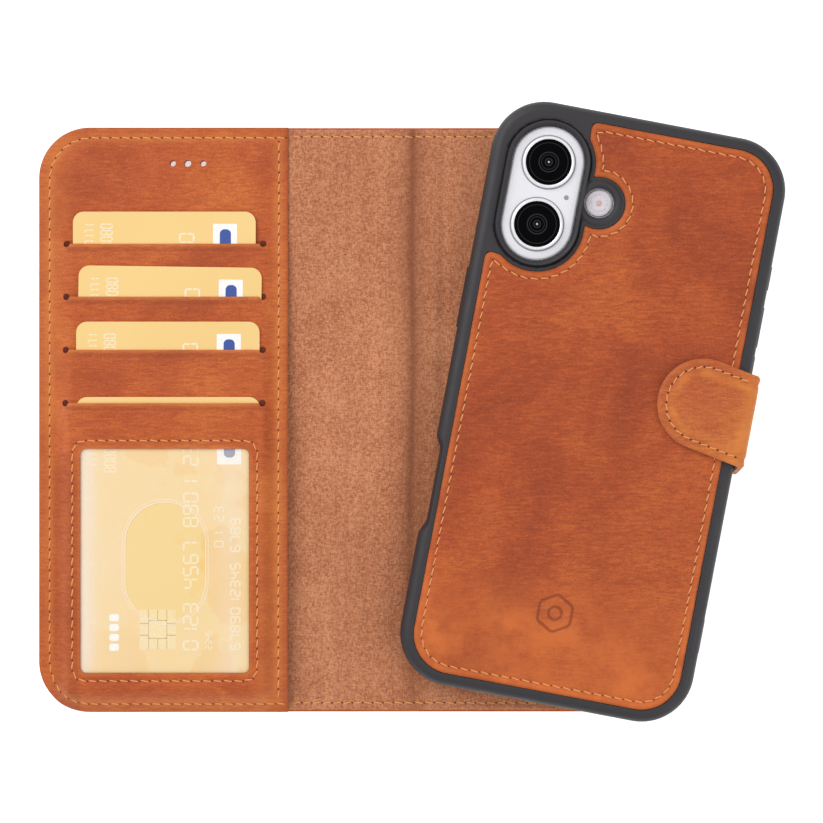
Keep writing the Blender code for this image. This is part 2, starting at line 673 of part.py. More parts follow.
phone_outline = evenly_rounded(*PHONE_HALF, PHONE_CORNER)
screen_top = PHONE_FLOOR + SCREEN_GLASS
island_top = PHONE_TOP + ISLAND_HEIGHT
phone = [plate("phone_screen", phone_outline, PHONE_FLOOR, screen_top, GLASS, CASE),
         plate("phone_body", phone_outline, screen_top + LAYER_GAP, PHONE_TOP, SILVER, CASE),
         plate("camera_island", stadium(CAMERA_CENTRE, ISLAND_RADIUS, LENS_SPREAD),
               PHONE_TOP + LAYER_GAP, island_top, SILVER, CASE),
         plate("flash_lens", circle(FLASH_CENTRE, FLASH_RADIUS), PHONE_TOP + LAYER_GAP,
               PHONE_TOP + FLASH_HEIGHT, SILVER, CASE)]
for number, side in ((1, 1), (2, -1)):
    centre = (CAMERA_CENTRE[0], CAMERA_CENTRE[1] + side * LENS_SPREAD)
    ring = plate("lens_ring_%d" % number, circle(centre, LENS_RING[0]), island_top + LAYER_GAP,
                 island_top + LENS_RING_HEIGHT, CHROME, CASE)
    boolean(ring, plate("lens_hole_%d" % number, circle(centre, LENS_RING[1]), 0, 2 * RIM_TOP,
                        None, CASE))
    glass = plate("lens_glass_%d" % number, circle(centre, LENS_GLASS_RADIUS),
                  island_top + LAYER_GAP, island_top + LENS_GLASS_HEIGHT, GLASS, CASE)
    phone += [ring, glass]


# ---------------------------------------------------------------- button pads
def button_pad(name, side, low_v, high_v):
    """A pad in a window in the case's wall, standing proud of it; side is -1 or 1."""
    inner = PHONE_HALF[0] + PAD_WALL
    outer = CASE_HALF[0] + PAD_PROUD
    span = sorted((side * inner, side * outer))
    pad = plate(name, rounded(*span, low_v, high_v), PHONE_MIDDLE - PAD_HALF_HEIGHT,
                PHONE_MIDDLE + PAD_HALF_HEIGHT, TPU, CASE)
    reach = sorted((side * PHONE_HALF[0], side * 1.1 * outer))
    half_height = PAD_HALF_HEIGHT + PAD_ROOM
    opening = plate(name + "_opening", rounded(*reach, low_v - PAD_ROOM, high_v + PAD_ROOM),
                    PHONE_MIDDLE - half_height, PHONE_MIDDLE + half_height, None, CASE)
    boolean(shell, opening)
    axes = CASE @ Matrix.Translation((side * outer, (low_v + high_v) / 2, PHONE_MIDDLE))
    pivot(name, axes, [pad])


for pad_values in PADS:
    button_pad(*pad_values)

# ---------------------------------------------------------------- closure tab
SLOPE = math.tan(CASE_TILT)
HALF_ACROSS = STRAP_WIDTH / 2 / math.cos(CASE_TILT)
TOP_FOLD_V = STRAP_FOLD_V + (FLAP_FLOOR - LINING_TOP) * SLOPE


def strap_base(name, low, high, look, start_x):
    """The part of the strap that lies on the table, from the folio's edge to the fold."""
    half = STRAP_WIDTH / 2
    fold = [CASE @ Vector((STRAP_INNER_U - FOLD_GAP, STRAP_FOLD_V + side * HALF_ACROSS, 0))
            for side in (-1, 1)]
    middle_y = (fold[0].y + fold[1].y) / 2
    outline = [(start_x, middle_y - half), (fold[0].x, fold[0].y), (fold[1].x, fold[1].y),
               (start_x, middle_y + half)]
    return plate(name, outline, low, high, look)


def strap_side(name, low, high, look):
    """The upright part; it leans along the case because the case lies at an angle."""
    bottom, top = LINING_TOP + FOLD_GAP, FLAP_FLOOR - FOLD_GAP
    shift = (top - bottom) * SLOPE
    outline = [(STRAP_FOLD_V - HALF_ACROSS, bottom), (STRAP_FOLD_V + HALF_ACROSS, bottom),
               (STRAP_FOLD_V + HALF_ACROSS + shift, top), (STRAP_FOLD_V - HALF_ACROSS + shift, top)]
    return plate(name, outline, low, high, look, CASE @ frame_of((0, 0, 0), (0, 1, 0), (0, 0, 1)))


# The flap's own axes: X runs from the fold towards the tip, Y across it.
TILT_COS, TILT_SIN = math.cos(CASE_TILT), math.sin(CASE_TILT)
FLAP = CASE @ frame_of((STRAP_INNER_U, TOP_FOLD_V, 0), (-TILT_COS, TILT_SIN, 0),
                       (-TILT_SIN, -TILT_COS, 0))


def flap_outline(inset, start):
    """The flap, square to the strap at the fold line and with a round tip."""
    half = STRAP_WIDTH / 2 - inset
    tip = FLAP_LENGTH - STRAP_WIDTH / 2
    tip_arc = arc((tip, 0), half, -90, 90, 2 * FACETS)
    return [(start + half * SLOPE, -half), *tip_arc, (start - half * SLOPE, half)]


base_start = -BACK_FOLD_X + TAB_START_GAP
base_top = LINING_TOP - STRAP_LINING - LAYER_GAP
base_leather = strap_base("tab_base_leather", base_top - STRAP_LEATHER, base_top, LEATHER,
                          base_start)
tongue = strap_base("tab_tongue", OUTER_LEATHER + LAYER_GAP, base_top - LAYER_GAP, None,
                    -BACK_FOLD_X - TAB_TONGUE)
boolean(base_leather, tongue, "UNION")
base_lining = strap_base("tab_base_lining", LINING_TOP - STRAP_LINING, LINING_TOP, FABRIC,
                         base_start)
side_u = STRAP_INNER_U + STRAP_LINING
side_lining = strap_side("tab_side_lining", STRAP_INNER_U, side_u, FABRIC)
side_leather = strap_side("tab_side_leather", side_u + LAYER_GAP,
                          side_u + LAYER_GAP + STRAP_LEATHER, LEATHER)
flap_lining = plate("tab_flap_lining", flap_outline(0, FOLD_GAP), FLAP_FLOOR,
                    FLAP_FLOOR + STRAP_LINING, FABRIC, FLAP)
FLAP_LEATHER_FLOOR = FLAP_FLOOR + STRAP_LINING + LAYER_GAP
flap_leather = plate("tab_flap_leather", flap_outline(0, FOLD_GAP), FLAP_LEATHER_FLOOR,
                     FLAP_LEATHER_FLOOR + STRAP_LEATHER, LEATHER, FLAP)
magnet_centre = (FLAP_LENGTH - STRAP_WIDTH / 2, 0)
tab_magnet = plate("tab_magnet", circle(magnet_centre, TAB_MAGNET_RADIUS),
                   FLAP_FLOOR + TAB_MAGNET_FLOOR, FLAP_LEATHER_FLOOR - LAYER_GAP, MAGNET, FLAP)
boolean(flap_lining, plate("tab_magnet_bed", circle(magnet_centre, TAB_MAGNET_RADIUS + DISC_ROOM),
                           FLAP_FLOOR + TAB_MAGNET_FLOOR - LAYER_GAP, 2 * FLAP_FLOOR, None, FLAP))
flap_run = flap_outline(TAB_SEAM_INSET, TAB_SEAM_START)
tab_thread = cord("tab_thread", [(x, y, thread_height(FLAP_LEATHER_FLOOR + STRAP_LEATHER))
                                 for x, y in flap_run], THREAD, False, FLAP)

# ---------------------------------------------------------------- what moves with what
spine_pivot = pivot("spine", Matrix.Translation((BACK_FOLD_X, 0, LINING_TOP)), spine)
front_pivot = pivot("front_cover", Matrix.Translation((FRONT_FOLD_X, 0, LINING_TOP)), front)
for card in cards:
    pivot(card.name, card.matrix_world.copy(), [card])
pivot("case", CASE, [shell, case_leather, steel_plate, leather_thread(), *phone])
pivot("tab_side", CASE @ Matrix.Translation((STRAP_INNER_U, STRAP_FOLD_V, LINING_TOP)),
      [side_lining, side_leather])
pivot("tab_flap", CASE @ Matrix.Translation((STRAP_INNER_U, TOP_FOLD_V, FLAP_FLOOR)),
      [flap_lining, flap_leather, tab_magnet, tab_thread])
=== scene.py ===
"""The looks of a leather phone wallet case lying open: a tan folio with cards and an ID
window, and a phone case with its leather back, held by the closure tab. Lengths are metres."""

import json
import math
import random

import bmesh
import bpy
import numpy as np
from mathutils import Matrix, Vector, noise
from mathutils.bvhtree import BVHTree
from mathutils.geometry import delaunay_2d_cdt
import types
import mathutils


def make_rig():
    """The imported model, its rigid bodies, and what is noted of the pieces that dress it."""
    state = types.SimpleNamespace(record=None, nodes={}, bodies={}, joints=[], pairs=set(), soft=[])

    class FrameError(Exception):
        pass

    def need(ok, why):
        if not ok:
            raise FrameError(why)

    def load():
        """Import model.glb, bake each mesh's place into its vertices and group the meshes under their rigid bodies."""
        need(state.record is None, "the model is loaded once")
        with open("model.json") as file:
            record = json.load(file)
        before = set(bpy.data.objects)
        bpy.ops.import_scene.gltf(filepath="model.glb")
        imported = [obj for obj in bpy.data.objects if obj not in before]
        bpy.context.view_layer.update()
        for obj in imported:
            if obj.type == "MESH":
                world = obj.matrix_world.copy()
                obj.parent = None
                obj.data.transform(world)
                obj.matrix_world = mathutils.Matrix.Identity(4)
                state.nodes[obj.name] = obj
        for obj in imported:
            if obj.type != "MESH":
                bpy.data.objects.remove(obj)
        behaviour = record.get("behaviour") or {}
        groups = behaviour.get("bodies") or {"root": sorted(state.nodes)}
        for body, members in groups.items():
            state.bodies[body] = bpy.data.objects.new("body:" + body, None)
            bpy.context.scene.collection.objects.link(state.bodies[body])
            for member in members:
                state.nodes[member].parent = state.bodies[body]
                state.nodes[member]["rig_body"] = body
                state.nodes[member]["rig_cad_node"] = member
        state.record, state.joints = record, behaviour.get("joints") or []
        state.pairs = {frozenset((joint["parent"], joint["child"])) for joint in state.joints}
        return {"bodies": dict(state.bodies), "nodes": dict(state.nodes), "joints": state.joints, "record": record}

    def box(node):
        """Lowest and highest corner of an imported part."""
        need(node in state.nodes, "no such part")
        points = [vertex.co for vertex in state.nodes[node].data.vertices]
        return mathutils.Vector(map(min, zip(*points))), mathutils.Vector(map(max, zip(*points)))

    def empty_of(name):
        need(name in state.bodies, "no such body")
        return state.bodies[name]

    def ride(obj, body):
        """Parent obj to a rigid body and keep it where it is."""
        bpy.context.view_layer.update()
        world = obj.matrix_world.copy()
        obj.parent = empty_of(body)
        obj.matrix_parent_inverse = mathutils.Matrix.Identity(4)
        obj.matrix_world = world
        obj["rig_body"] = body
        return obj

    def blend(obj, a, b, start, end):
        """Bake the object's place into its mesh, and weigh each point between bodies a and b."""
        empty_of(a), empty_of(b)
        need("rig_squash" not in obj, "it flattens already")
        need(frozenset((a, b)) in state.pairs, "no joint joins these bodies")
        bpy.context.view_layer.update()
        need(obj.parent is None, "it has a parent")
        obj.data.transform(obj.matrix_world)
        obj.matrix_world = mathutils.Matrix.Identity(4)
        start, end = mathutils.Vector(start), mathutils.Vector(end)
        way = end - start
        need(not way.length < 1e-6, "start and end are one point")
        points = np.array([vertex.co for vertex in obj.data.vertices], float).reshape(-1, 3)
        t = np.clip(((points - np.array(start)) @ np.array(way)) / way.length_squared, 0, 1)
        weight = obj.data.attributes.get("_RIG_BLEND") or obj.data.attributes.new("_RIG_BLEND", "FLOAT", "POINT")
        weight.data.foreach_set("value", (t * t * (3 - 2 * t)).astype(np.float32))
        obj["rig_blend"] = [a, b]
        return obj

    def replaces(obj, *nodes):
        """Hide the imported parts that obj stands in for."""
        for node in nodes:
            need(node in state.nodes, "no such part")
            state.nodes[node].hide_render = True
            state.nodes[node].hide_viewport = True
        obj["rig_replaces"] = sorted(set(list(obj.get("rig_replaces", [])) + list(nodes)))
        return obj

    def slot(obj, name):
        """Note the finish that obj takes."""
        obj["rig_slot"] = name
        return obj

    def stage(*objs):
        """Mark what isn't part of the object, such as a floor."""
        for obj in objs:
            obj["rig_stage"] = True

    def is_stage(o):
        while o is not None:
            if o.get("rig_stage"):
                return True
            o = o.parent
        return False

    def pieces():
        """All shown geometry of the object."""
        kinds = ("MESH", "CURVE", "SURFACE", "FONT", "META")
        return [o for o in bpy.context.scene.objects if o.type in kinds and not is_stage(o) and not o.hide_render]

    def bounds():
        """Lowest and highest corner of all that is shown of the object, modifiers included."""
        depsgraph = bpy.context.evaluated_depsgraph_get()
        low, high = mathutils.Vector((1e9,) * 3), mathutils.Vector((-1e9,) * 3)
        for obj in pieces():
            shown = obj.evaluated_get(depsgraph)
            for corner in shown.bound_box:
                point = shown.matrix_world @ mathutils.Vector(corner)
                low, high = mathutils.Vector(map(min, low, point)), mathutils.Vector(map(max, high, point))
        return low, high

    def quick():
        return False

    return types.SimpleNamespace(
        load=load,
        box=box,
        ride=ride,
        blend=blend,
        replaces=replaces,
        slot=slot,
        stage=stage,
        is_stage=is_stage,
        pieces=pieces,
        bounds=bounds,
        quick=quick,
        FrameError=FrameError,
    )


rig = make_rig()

MM = 0.001
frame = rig.load()
CAD_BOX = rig.bounds()
JOINTS = {joint["name"]: joint for joint in frame["joints"]}

# ------------------------------------------------------------------ places from the frame
FOLIO_LOW, FOLIO_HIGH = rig.box("front_leather")
HALF_HEIGHT = FOLIO_HIGH.y
LEFT_X = FOLIO_LOW.x
RIGHT_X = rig.box("back_leather")[1].x
FRONT_FOLD_X = JOINTS["cover_fold"]["pos_m"][0]
BACK_FOLD_X = JOINTS["spine_fold"]["pos_m"][0]
SPINE_LEFT_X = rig.box("spine_leather")[0].x
SPINE_RIGHT_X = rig.box("spine_leather")[1].x
SPINE_MIDDLE_X = (SPINE_LEFT_X + SPINE_RIGHT_X) / 2
LEATHER_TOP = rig.box("back_leather")[1].z
LINING_FLOOR, LINING_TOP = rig.box("back_lining")[0].z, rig.box("back_lining")[1].z
COVER_CORNER = 15 * MM
STITCH_INSET = HALF_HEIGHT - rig.box("back_edge_thread")[1].y

PANEL_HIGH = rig.box("pocket_leather")[1]
PANEL_RIGHT_X = PANEL_HIGH.x
LINERS = [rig.box("pocket_liner_%d" % k) for k in (1, 2, 3)]
TUCK = 2 * MM
SLOT_PITCH = LINERS[0][1].y - LINERS[1][1].y
SLOT_Y = [LINERS[0][1].y + TUCK + SLOT_PITCH] + [high.y + TUCK for _, high in LINERS]
SLOT_LEFT_X = LINERS[0][0].x + 0.1 * MM
SLOT_RIGHT_X = LINERS[0][1].x - 0.1 * MM
STRIP_TOPS = [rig.box("pocket_backing")[1].z + 0.5 * MM] + [high.z for _, high in LINERS]
STRIP_TOPS.append(PANEL_HIGH.z)
FILM_LOW, FILM_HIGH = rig.box("window_film")
FILM_REACH = 3 * MM
WINDOW = (FILM_LOW.x + FILM_REACH, FILM_HIGH.x - FILM_REACH,
          FILM_LOW.y + FILM_REACH, FILM_HIGH.y - FILM_REACH)

AXIS = Vector(JOINTS["case_slide"]["axis"])
CASE_TILT = math.atan2(AXIS.x, AXIS.y)
STEEL_LOW, STEEL_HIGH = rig.box("case_steel_plate")
CASE_CENTRE = (STEEL_LOW + STEEL_HIGH) / 2 + AXIS * 18 * MM
CASE = Matrix.Translation((CASE_CENTRE.x, CASE_CENTRE.y, 0)) @ Matrix.Rotation(-CASE_TILT, 4, "Z")
CASE_HALF = (43.55 * MM, 86.8 * MM)
CASE_CORNER = 15.5 * MM
CASE_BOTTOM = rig.box("case_shell")[0].z
LIP_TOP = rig.box("case_shell")[1].z
CASE_LEATHER_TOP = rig.box("case_back_leather")[1].z
DECK_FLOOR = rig.box("case_back_leather")[0].z
RIM_TOP = LIP_TOP - 1.5 * MM
PHONE_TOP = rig.box("phone_body")[1].z
ISLAND_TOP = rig.box("camera_island")[1].z
LEATHER_HALF = (39.6 * MM, 83 * MM)
LEATHER_CORNER = 11.7 * MM


def case_local(node):
    """The middle of a node in the case's own axes."""
    low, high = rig.box(node)
    return CASE.inverted() @ ((low + high) / 2)


LENSES = [case_local("lens_glass_%d" % i).xy for i in (1, 2)]
FLASH = case_local("flash_lens").xy
CAMERA = (LENSES[0] + LENSES[1]) / 2
LENS_SPREAD = (LENSES[0] - LENSES[1]).length / 2


def ride(made, body, slot, *nodes):
    """Fixes a piece to a body, with its material slot and the CAD nodes that it stands for."""
    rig.ride(made, body)
    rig.slot(made, slot)
    if nodes:
        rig.replaces(made, *nodes)
    return made


# ------------------------------------------------------------------ numbers and outlines
def smooth(t):
    """A rise from 0 to 1 that starts and ends level."""
    t = np.clip(t, 0, 1)
    return t * t * (3 - 2 * t)


def bell(distance, width):
    """1 at distance 0, falling off over the width."""
    return np.exp(-(distance / width) ** 2)


def flat_at(height):
    """A level surface for skin."""
    return lambda points, gap: np.full(len(points), height)


def arc(centre, radius, start, end, step=0.6 * MM):
    """Points on an arc, angles in degrees, both ends included."""
    count = max(4, int(abs(math.radians(end - start)) * radius / step))
    angles = np.radians(np.linspace(start, end, count + 1))
    return [(centre[0] + radius * math.cos(a), centre[1] + radius * math.sin(a)) for a in angles]


def rounded(x0, x1, y0, y1, bottom_left=0, bottom_right=0, top_right=0, top_left=0):
    """A rectangle's outline, anticlockwise, each corner with its own radius."""
    corners = ((x0, y0, 1, 1, bottom_left, 180), (x1, y0, -1, 1, bottom_right, 270),
               (x1, y1, -1, -1, top_right, 0), (x0, y1, 1, -1, top_left, 90))
    points = []
    for x, y, along, up, radius, start in corners:
        if radius:
            points += arc((x + along * radius, y + up * radius), radius, start, start + 90)
        else:
            points.append((x, y))
    return points


def even(x0, x1, y0, y1, radius):
    """A rectangle's outline with the same radius at each corner."""
    return rounded(x0, x1, y0, y1, radius, radius, radius, radius)


def stadium(centre, radius, half_length):
    """An upright slot shape with round ends."""
    x, y = centre
    return (arc((x, y + half_length), radius, 0, 180) + arc((x, y - half_length), radius, 180, 360))


def circle(centre, radius, step=0.5 * MM):
    return arc(centre, radius, 0, 360, step)[:-1]


def resample(points, spacing, closed=True):
    """The same path with evenly spaced points; corners of the path are kept."""
    path = [Vector(p) for p in points]
    if closed:
        path.append(path[0])
    out = []
    for a, b in zip(path, path[1:]):
        count = max(1, int(round((b - a).length / spacing)))
        out += [a.lerp(b, i / count) for i in range(count)]
    if not closed:
        out.append(path[-1])
    return out


def walk(points, pitch, closed):
    """Evenly spaced points along a path, with corners cut."""
    path = [Vector(p) for p in points]
    if closed:
        path.append(path[0])
    lengths = [0.0]
    for a, b in zip(path, path[1:]):
        lengths.append(lengths[-1] + (b - a).length)
    count = max(1, int(round(lengths[-1] / pitch)))
    out = []
    at = 0
    for i in range(count + 1):
        target = lengths[-1] * i / count
        while at < len(lengths) - 2 and lengths[at + 1] < target:
            at += 1
        span = lengths[at + 1] - lengths[at]
        out.append(path[at].lerp(path[at + 1], (target - lengths[at]) / span if span else 0))
    return out


def flat_array(path):
    return np.array([tuple(p)[:2] for p in path])


def distance_to(points, path, closed=True):
    """Each point's distance to a path of segments, as arrays."""
    ends = flat_array(path)
    a = ends if closed else ends[:-1]
    b = np.roll(ends, -1, axis=0) if closed else ends[1:]
    best = np.full(len(points), 1e9)
    for p, q in zip(a, b):
        along = q - p
        size = along @ along
        if size == 0:
            continue
        t = np.clip((points - p) @ along / size, 0, 1)
        gap = np.hypot(*(points - p - t[:, None] * along).T)
        best = np.minimum(best, gap)
    return best


def inside(points, outline):
    """Whether each point is inside a closed outline."""
    ends = flat_array(outline)
    found = np.zeros(len(points), bool)
    for (x0, y0), (x1, y1) in zip(ends, np.roll(ends, -1, axis=0)):
        if y0 == y1:
            continue
        crosses = (y0 > points[:, 1]) != (y1 > points[:, 1])
        at = x0 + (points[:, 1] - y0) * (x1 - x0) / (y1 - y0)
        found ^= crosses & (points[:, 0] < at)
    return found


def ripple(points, size, seed=0.0):
    """Smooth noise from -1 to 1 over points, with features of the given size."""
    return np.array([noise.noise((x / size, y / size, seed)) for x, y in points])


# ------------------------------------------------------------------ meshes
def add_object(name, vertices, faces, look, place=None):
    """A smooth-shaded piece with one material, moved by place if it's given."""
    mesh = bpy.data.meshes.new(name)
    mesh.from_pydata([tuple(v) for v in vertices], [], [tuple(f) for f in faces])
    mesh.validate()
    made = bpy.data.objects.new(name, mesh)
    bpy.context.scene.collection.objects.link(made)
    mesh.materials.append(look)
    if place is not None:
        mesh.transform(place)
    mesh.shade_smooth()
    mesh.set_sharp_from_angle(angle=SHARP)
    return made


def flat_points(made):
    return np.array([vertex.co.xy for vertex in made.data.vertices])


def set_attribute(made, name, values):
    layer = made.data.attributes.new(name, "FLOAT", "POINT")
    layer.data.foreach_set("value", np.asarray(values, np.float32))


SHARP = math.radians(50)
EDGE_RINGS = (0.12 * MM, 0.3 * MM, 0.6 * MM, 1.0 * MM)
LINING_RINGS = EDGE_RINGS + (1.7 * MM, 2.0 * MM, 2.3 * MM, 2.6 * MM, 3.0 * MM)


def triangles(points, counts, kind):
    """A triangulation of points that start with closed loops of the given lengths; kind 0
    covers the whole area and kind 1 the inside of the loops."""
    edges = []
    start = 0
    for count in counts:
        edges += [(start + i, start + (i + 1) % count) for i in range(count)]
        start += count
    found, _, faces, *_ = delaunay_2d_cdt([Vector(p) for p in points], edges, [], kind, 1e-7)
    return np.array([tuple(p) for p in found]), faces


def grid_over(edge, spacing, stagger, columns=()):
    """Points in rows over the area of an edge, every second row moved, with extra columns."""
    low, high = edge.min(0), edge.max(0)
    xs = np.arange(low[0] + spacing / 2, high[0], spacing)
    xs = np.unique(np.concatenate([xs, np.asarray(columns, float)])) if len(columns) else xs
    ys = np.arange(low[1] + spacing / 2, high[1], spacing)
    grid = np.array(np.meshgrid(xs, ys)).reshape(2, -1).T
    grid[:, 0] += (np.round(grid[:, 1] / spacing) % 2 - 0.5) * stagger * spacing
    return grid


def skin(name, outline, top, bottom, look, holes=(), spacing=1 * MM, place=None, fine=None,
         rings=EDGE_RINGS, columns=(), fold=None, lines=(), worn=None):
    """A sheet over an outline. top and bottom are heights as functions of the points and of
    their distance to the edge; fine is an area with its own closer spacing; lines are closed
    paths that its edges follow; the last argument gives how pale the leather is: wear, and on
    the tab's flap a painted highlight."""
    loops = [resample(outline, min(spacing, 0.8 * MM))]
    loops += [resample(hole, min(spacing, 0.5 * MM)) for hole in holes]
    edge = np.concatenate([flat_array(loop) for loop in loops])
    grid = grid_over(edge, spacing, 0.1, columns)
    clear = max(rings) + 0.45 * spacing
    if fine:
        (x0, x1, y0, y1), step = fine
        keep = ((grid[:, 0] < x0) | (grid[:, 0] > x1) | (grid[:, 1] < y0) | (grid[:, 1] > y1))
        grid = grid[keep]
        more = np.array(np.meshgrid(np.arange(x0, x1, step), np.arange(y0, y1, step)))
        grid = np.concatenate([grid, more.reshape(2, -1).T])
    gap = np.min([distance_to(grid, loop) for loop in loops], axis=0)
    grid = grid[(gap > clear) & in_loops(grid, loops)]
    extra = [grid]
    walls = [resample(line, 0.5 * MM) for line in lines]
    if walls:
        gap = np.min([distance_to(grid, wall) for wall in walls], axis=0)
        extra = [grid[gap > 0.3 * spacing]]
    for ring in rings:
        shifted = []
        for loop in loops:
            hole = loop is not loops[0] and signed_area(flat_array(loop)) > 0
            shifted.append(offset(loop, ring if hole else -ring))
        shifted = np.concatenate(shifted)
        gap = np.min([distance_to(shifted, loop) for loop in loops], axis=0)
        extra.append(shifted[(gap > 0.85 * ring) & in_loops(shifted, loops)])
    lined = [flat_array(wall) for wall in walls]
    points = np.concatenate([edge] + lined + extra)
    flat, faces = triangles(points, [len(loop) for loop in loops + walls], 0)
    faces = np.array([f for f in faces if len(f) == 3])
    middles = flat[faces].mean(1)
    faces = faces[in_loops(middles, loops)]
    used = np.unique(faces)
    index = np.full(len(flat), -1)
    index[used] = np.arange(len(used))
    flat, faces = flat[used], index[faces]
    gap = np.min([distance_to(flat, loop) for loop in loops], axis=0)
    upper = np.column_stack([flat, top(flat, gap)])
    lower = np.column_stack([flat, bottom(flat, gap)])
    count = len(flat)
    shell = [tuple(f) for f in faces] + [(a + count, c + count, b + count) for a, b, c in faces]
    once = {}
    for a, b, c in faces:
        for p, q in ((a, b), (b, c), (c, a)):
            once[(p, q)] = once.get((p, q), 0) + 1
    shell += [(q, p, p + count, q + count) for p, q in once if (q, p) not in once]
    vertices = np.concatenate([upper, lower])
    if fold:
        vertices = fold(vertices)
    made = add_object(name, vertices, shell, look, place)
    pale = worn(flat, gap) if worn else worn_edge(gap)
    set_attribute(made, "worn", np.concatenate([pale, pale]))
    return made


def worn_edge(gap):
    """How worn the leather is from its distance to an edge: 1 at the edge, 0 well inside."""
    return 1 - smooth(gap / (2.8 * MM))


def signed_area(ends):
    nxt = np.roll(ends, -1, axis=0)
    return float((ends[:, 0] * nxt[:, 1] - nxt[:, 0] * ends[:, 1]).sum() / 2)


def offset(points, distance):
    """A closed anticlockwise outline moved outwards, as an array."""
    path = flat_array(points)
    along = np.roll(path, -1, axis=0) - np.roll(path, 1, axis=0)
    along /= np.hypot(*along.T)[:, None] + 1e-12
    return path + distance * np.stack([along[:, 1], -along[:, 0]], 1)


def in_loops(points, loops):
    found = inside(points, loops[0])
    for hole in loops[1:]:
        found &= ~inside(points, hole)
    return found


def clean_mesh(mesh, weld=None):
    """Turns the faces outwards, and joins points closer than weld."""
    data = bmesh.new()
    data.from_mesh(mesh)
    if weld:
        bmesh.ops.remove_doubles(data, verts=data.verts, dist=weld)
    bmesh.ops.recalc_face_normals(data, faces=data.faces)
    data.to_mesh(mesh)
    data.free()


def ring_faces(rings, around, closed_ends=True, base=0):
    """Faces between rings of points, with the ends closed or the last ring joined to the
    first."""
    faces = []
    for r in range(rings - 1 if closed_ends else rings):
        a, b = base + r * around, base + (r + 1) % rings * around
        faces += [(a + i, a + (i + 1) % around, b + (i + 1) % around, b + i)
                  for i in range(around)]
    if closed_ends:
        last = base + (rings - 1) * around
        faces += [tuple(base + i for i in reversed(range(around))),
                  tuple(last + i for i in range(around))]
    return faces


def loft(name, rings, look, place=None, closed_ends=False):
    """A surface through closed rings of equally many points."""
    vertices = [p for ring in rings for p in ring]
    faces = ring_faces(len(rings), len(rings[0]), closed_ends)
    made = add_object(name, vertices, faces, look, place)
    clean_mesh(made.data)
    made.data.set_sharp_from_angle(angle=SHARP)
    return made


def turned(name, profile, centre, look, base, solid=False, steps=64):
    """A turned piece of the phone: profile is radius and height above base, in mm, from the
    middle of the top out and down. A solid one is closed at both ends."""
    rings = [[(centre[0] + r * MM * math.cos(a), centre[1] + r * MM * math.sin(a), base + z * MM)
              for a in np.linspace(0, 2 * math.pi, steps, endpoint=False)] for r, z in profile]
    return loft(name, rings, look, CASE, solid)


def capsule(start, end, width, height, lift):
    """A stitch: a flattened bead from start to end that arches out of the leather."""
    along = end - start
    length = along.length
    along = along.normalized()
    across = Vector((-along.y, along.x, 0)).normalized()
    up = along.cross(across)
    up = -up if up.z < 0 else up
    rows = around = BEAD_STEPS
    vertices = []
    for i in range(rows + 1):
        t = i / rows
        size = math.sqrt(max(0.02, 1 - (2 * t - 1) ** 4))
        middle = start + along * (length * t) + up * (lift * math.sin(math.pi * t))
        for j in range(around):
            a = 2 * math.pi * j / around
            vertices.append(middle + across * (width / 2 * size * math.cos(a))
                            + up * (height / 2 * size * math.sin(a)))
    return vertices, ring_faces(rows + 1, around)


BEAD_STEPS = 6
STITCH_PITCH = 3.05 * MM
STITCH_SLANT = 0.2 * MM
STITCH_LIFT = 0.02 * MM
THREAD_WIDTH, THREAD_HEIGHT, THREAD_ARCH = 0.38 * MM, 0.3 * MM, 0.12 * MM
NEEDLE_RADIUS = 0.27 * MM
NEEDLE_SIDES = 8


def seam(name, path, height, closed=True, place=None, fold=None, side=1, pitch=STITCH_PITCH,
         hole=NEEDLE_RADIUS):
    """A row of stitches with a dark disc at each end, painted shade for the needle hole; height gives the surface."""
    points = walk([tuple(p)[:2] for p in path], pitch, closed)
    flat = np.array([tuple(p) for p in points])
    levels = height(flat)
    vertices, faces, slots = [], [], []
    rng = random.Random(len(points))
    for i in range(len(points) - 1):
        a, b = points[i], points[i + 1]
        step = b - a
        across = Vector((-step.y, step.x)).normalized() * side
        slant = STITCH_SLANT * (1 + 0.3 * rng.uniform(-1, 1))
        start = a + step * 0.1 + across * slant
        end = b - step * 0.1 - across * slant
        bead = capsule(start.to_3d() + Vector((0, 0, levels[i] - STITCH_LIFT)),
                       end.to_3d() + Vector((0, 0, levels[i + 1] - STITCH_LIFT)),
                       THREAD_WIDTH, THREAD_HEIGHT, THREAD_ARCH)
        angles = [2 * math.pi * j / NEEDLE_SIDES for j in range(NEEDLE_SIDES)]
        ring = [(a.x + hole * math.cos(t), a.y + hole * math.sin(t)) for t in angles]
        needle = prism_shells([(ring, levels[i] - 0.1 * MM, levels[i] + 0.06 * MM)])
        for slot, (corners, shell) in enumerate((bead, needle)):
            base = len(vertices)
            vertices += corners
            faces += [tuple(base + v for v in f) for f in shell]
            slots += [slot] * len(shell)
    if fold:
        vertices = [Vector(v) for v in fold(np.array([tuple(v) for v in vertices]))]
    made = add_object(name, vertices, faces, THREAD, place)
    made.data.materials.append(NEEDLE_SHADE)
    made.data.polygons.foreach_set("material_index", slots)
    made.data.update()
    return made


def prism_shells(prisms):
    """The vertices and faces of several prisms, each an outline and two heights."""
    vertices, faces = [], []
    for outline, low, high in prisms:
        faces += ring_faces(2, len(outline), base=len(vertices))
        vertices += [(x, y, low) for x, y in outline] + [(x, y, high) for x, y in outline]
    return vertices, faces


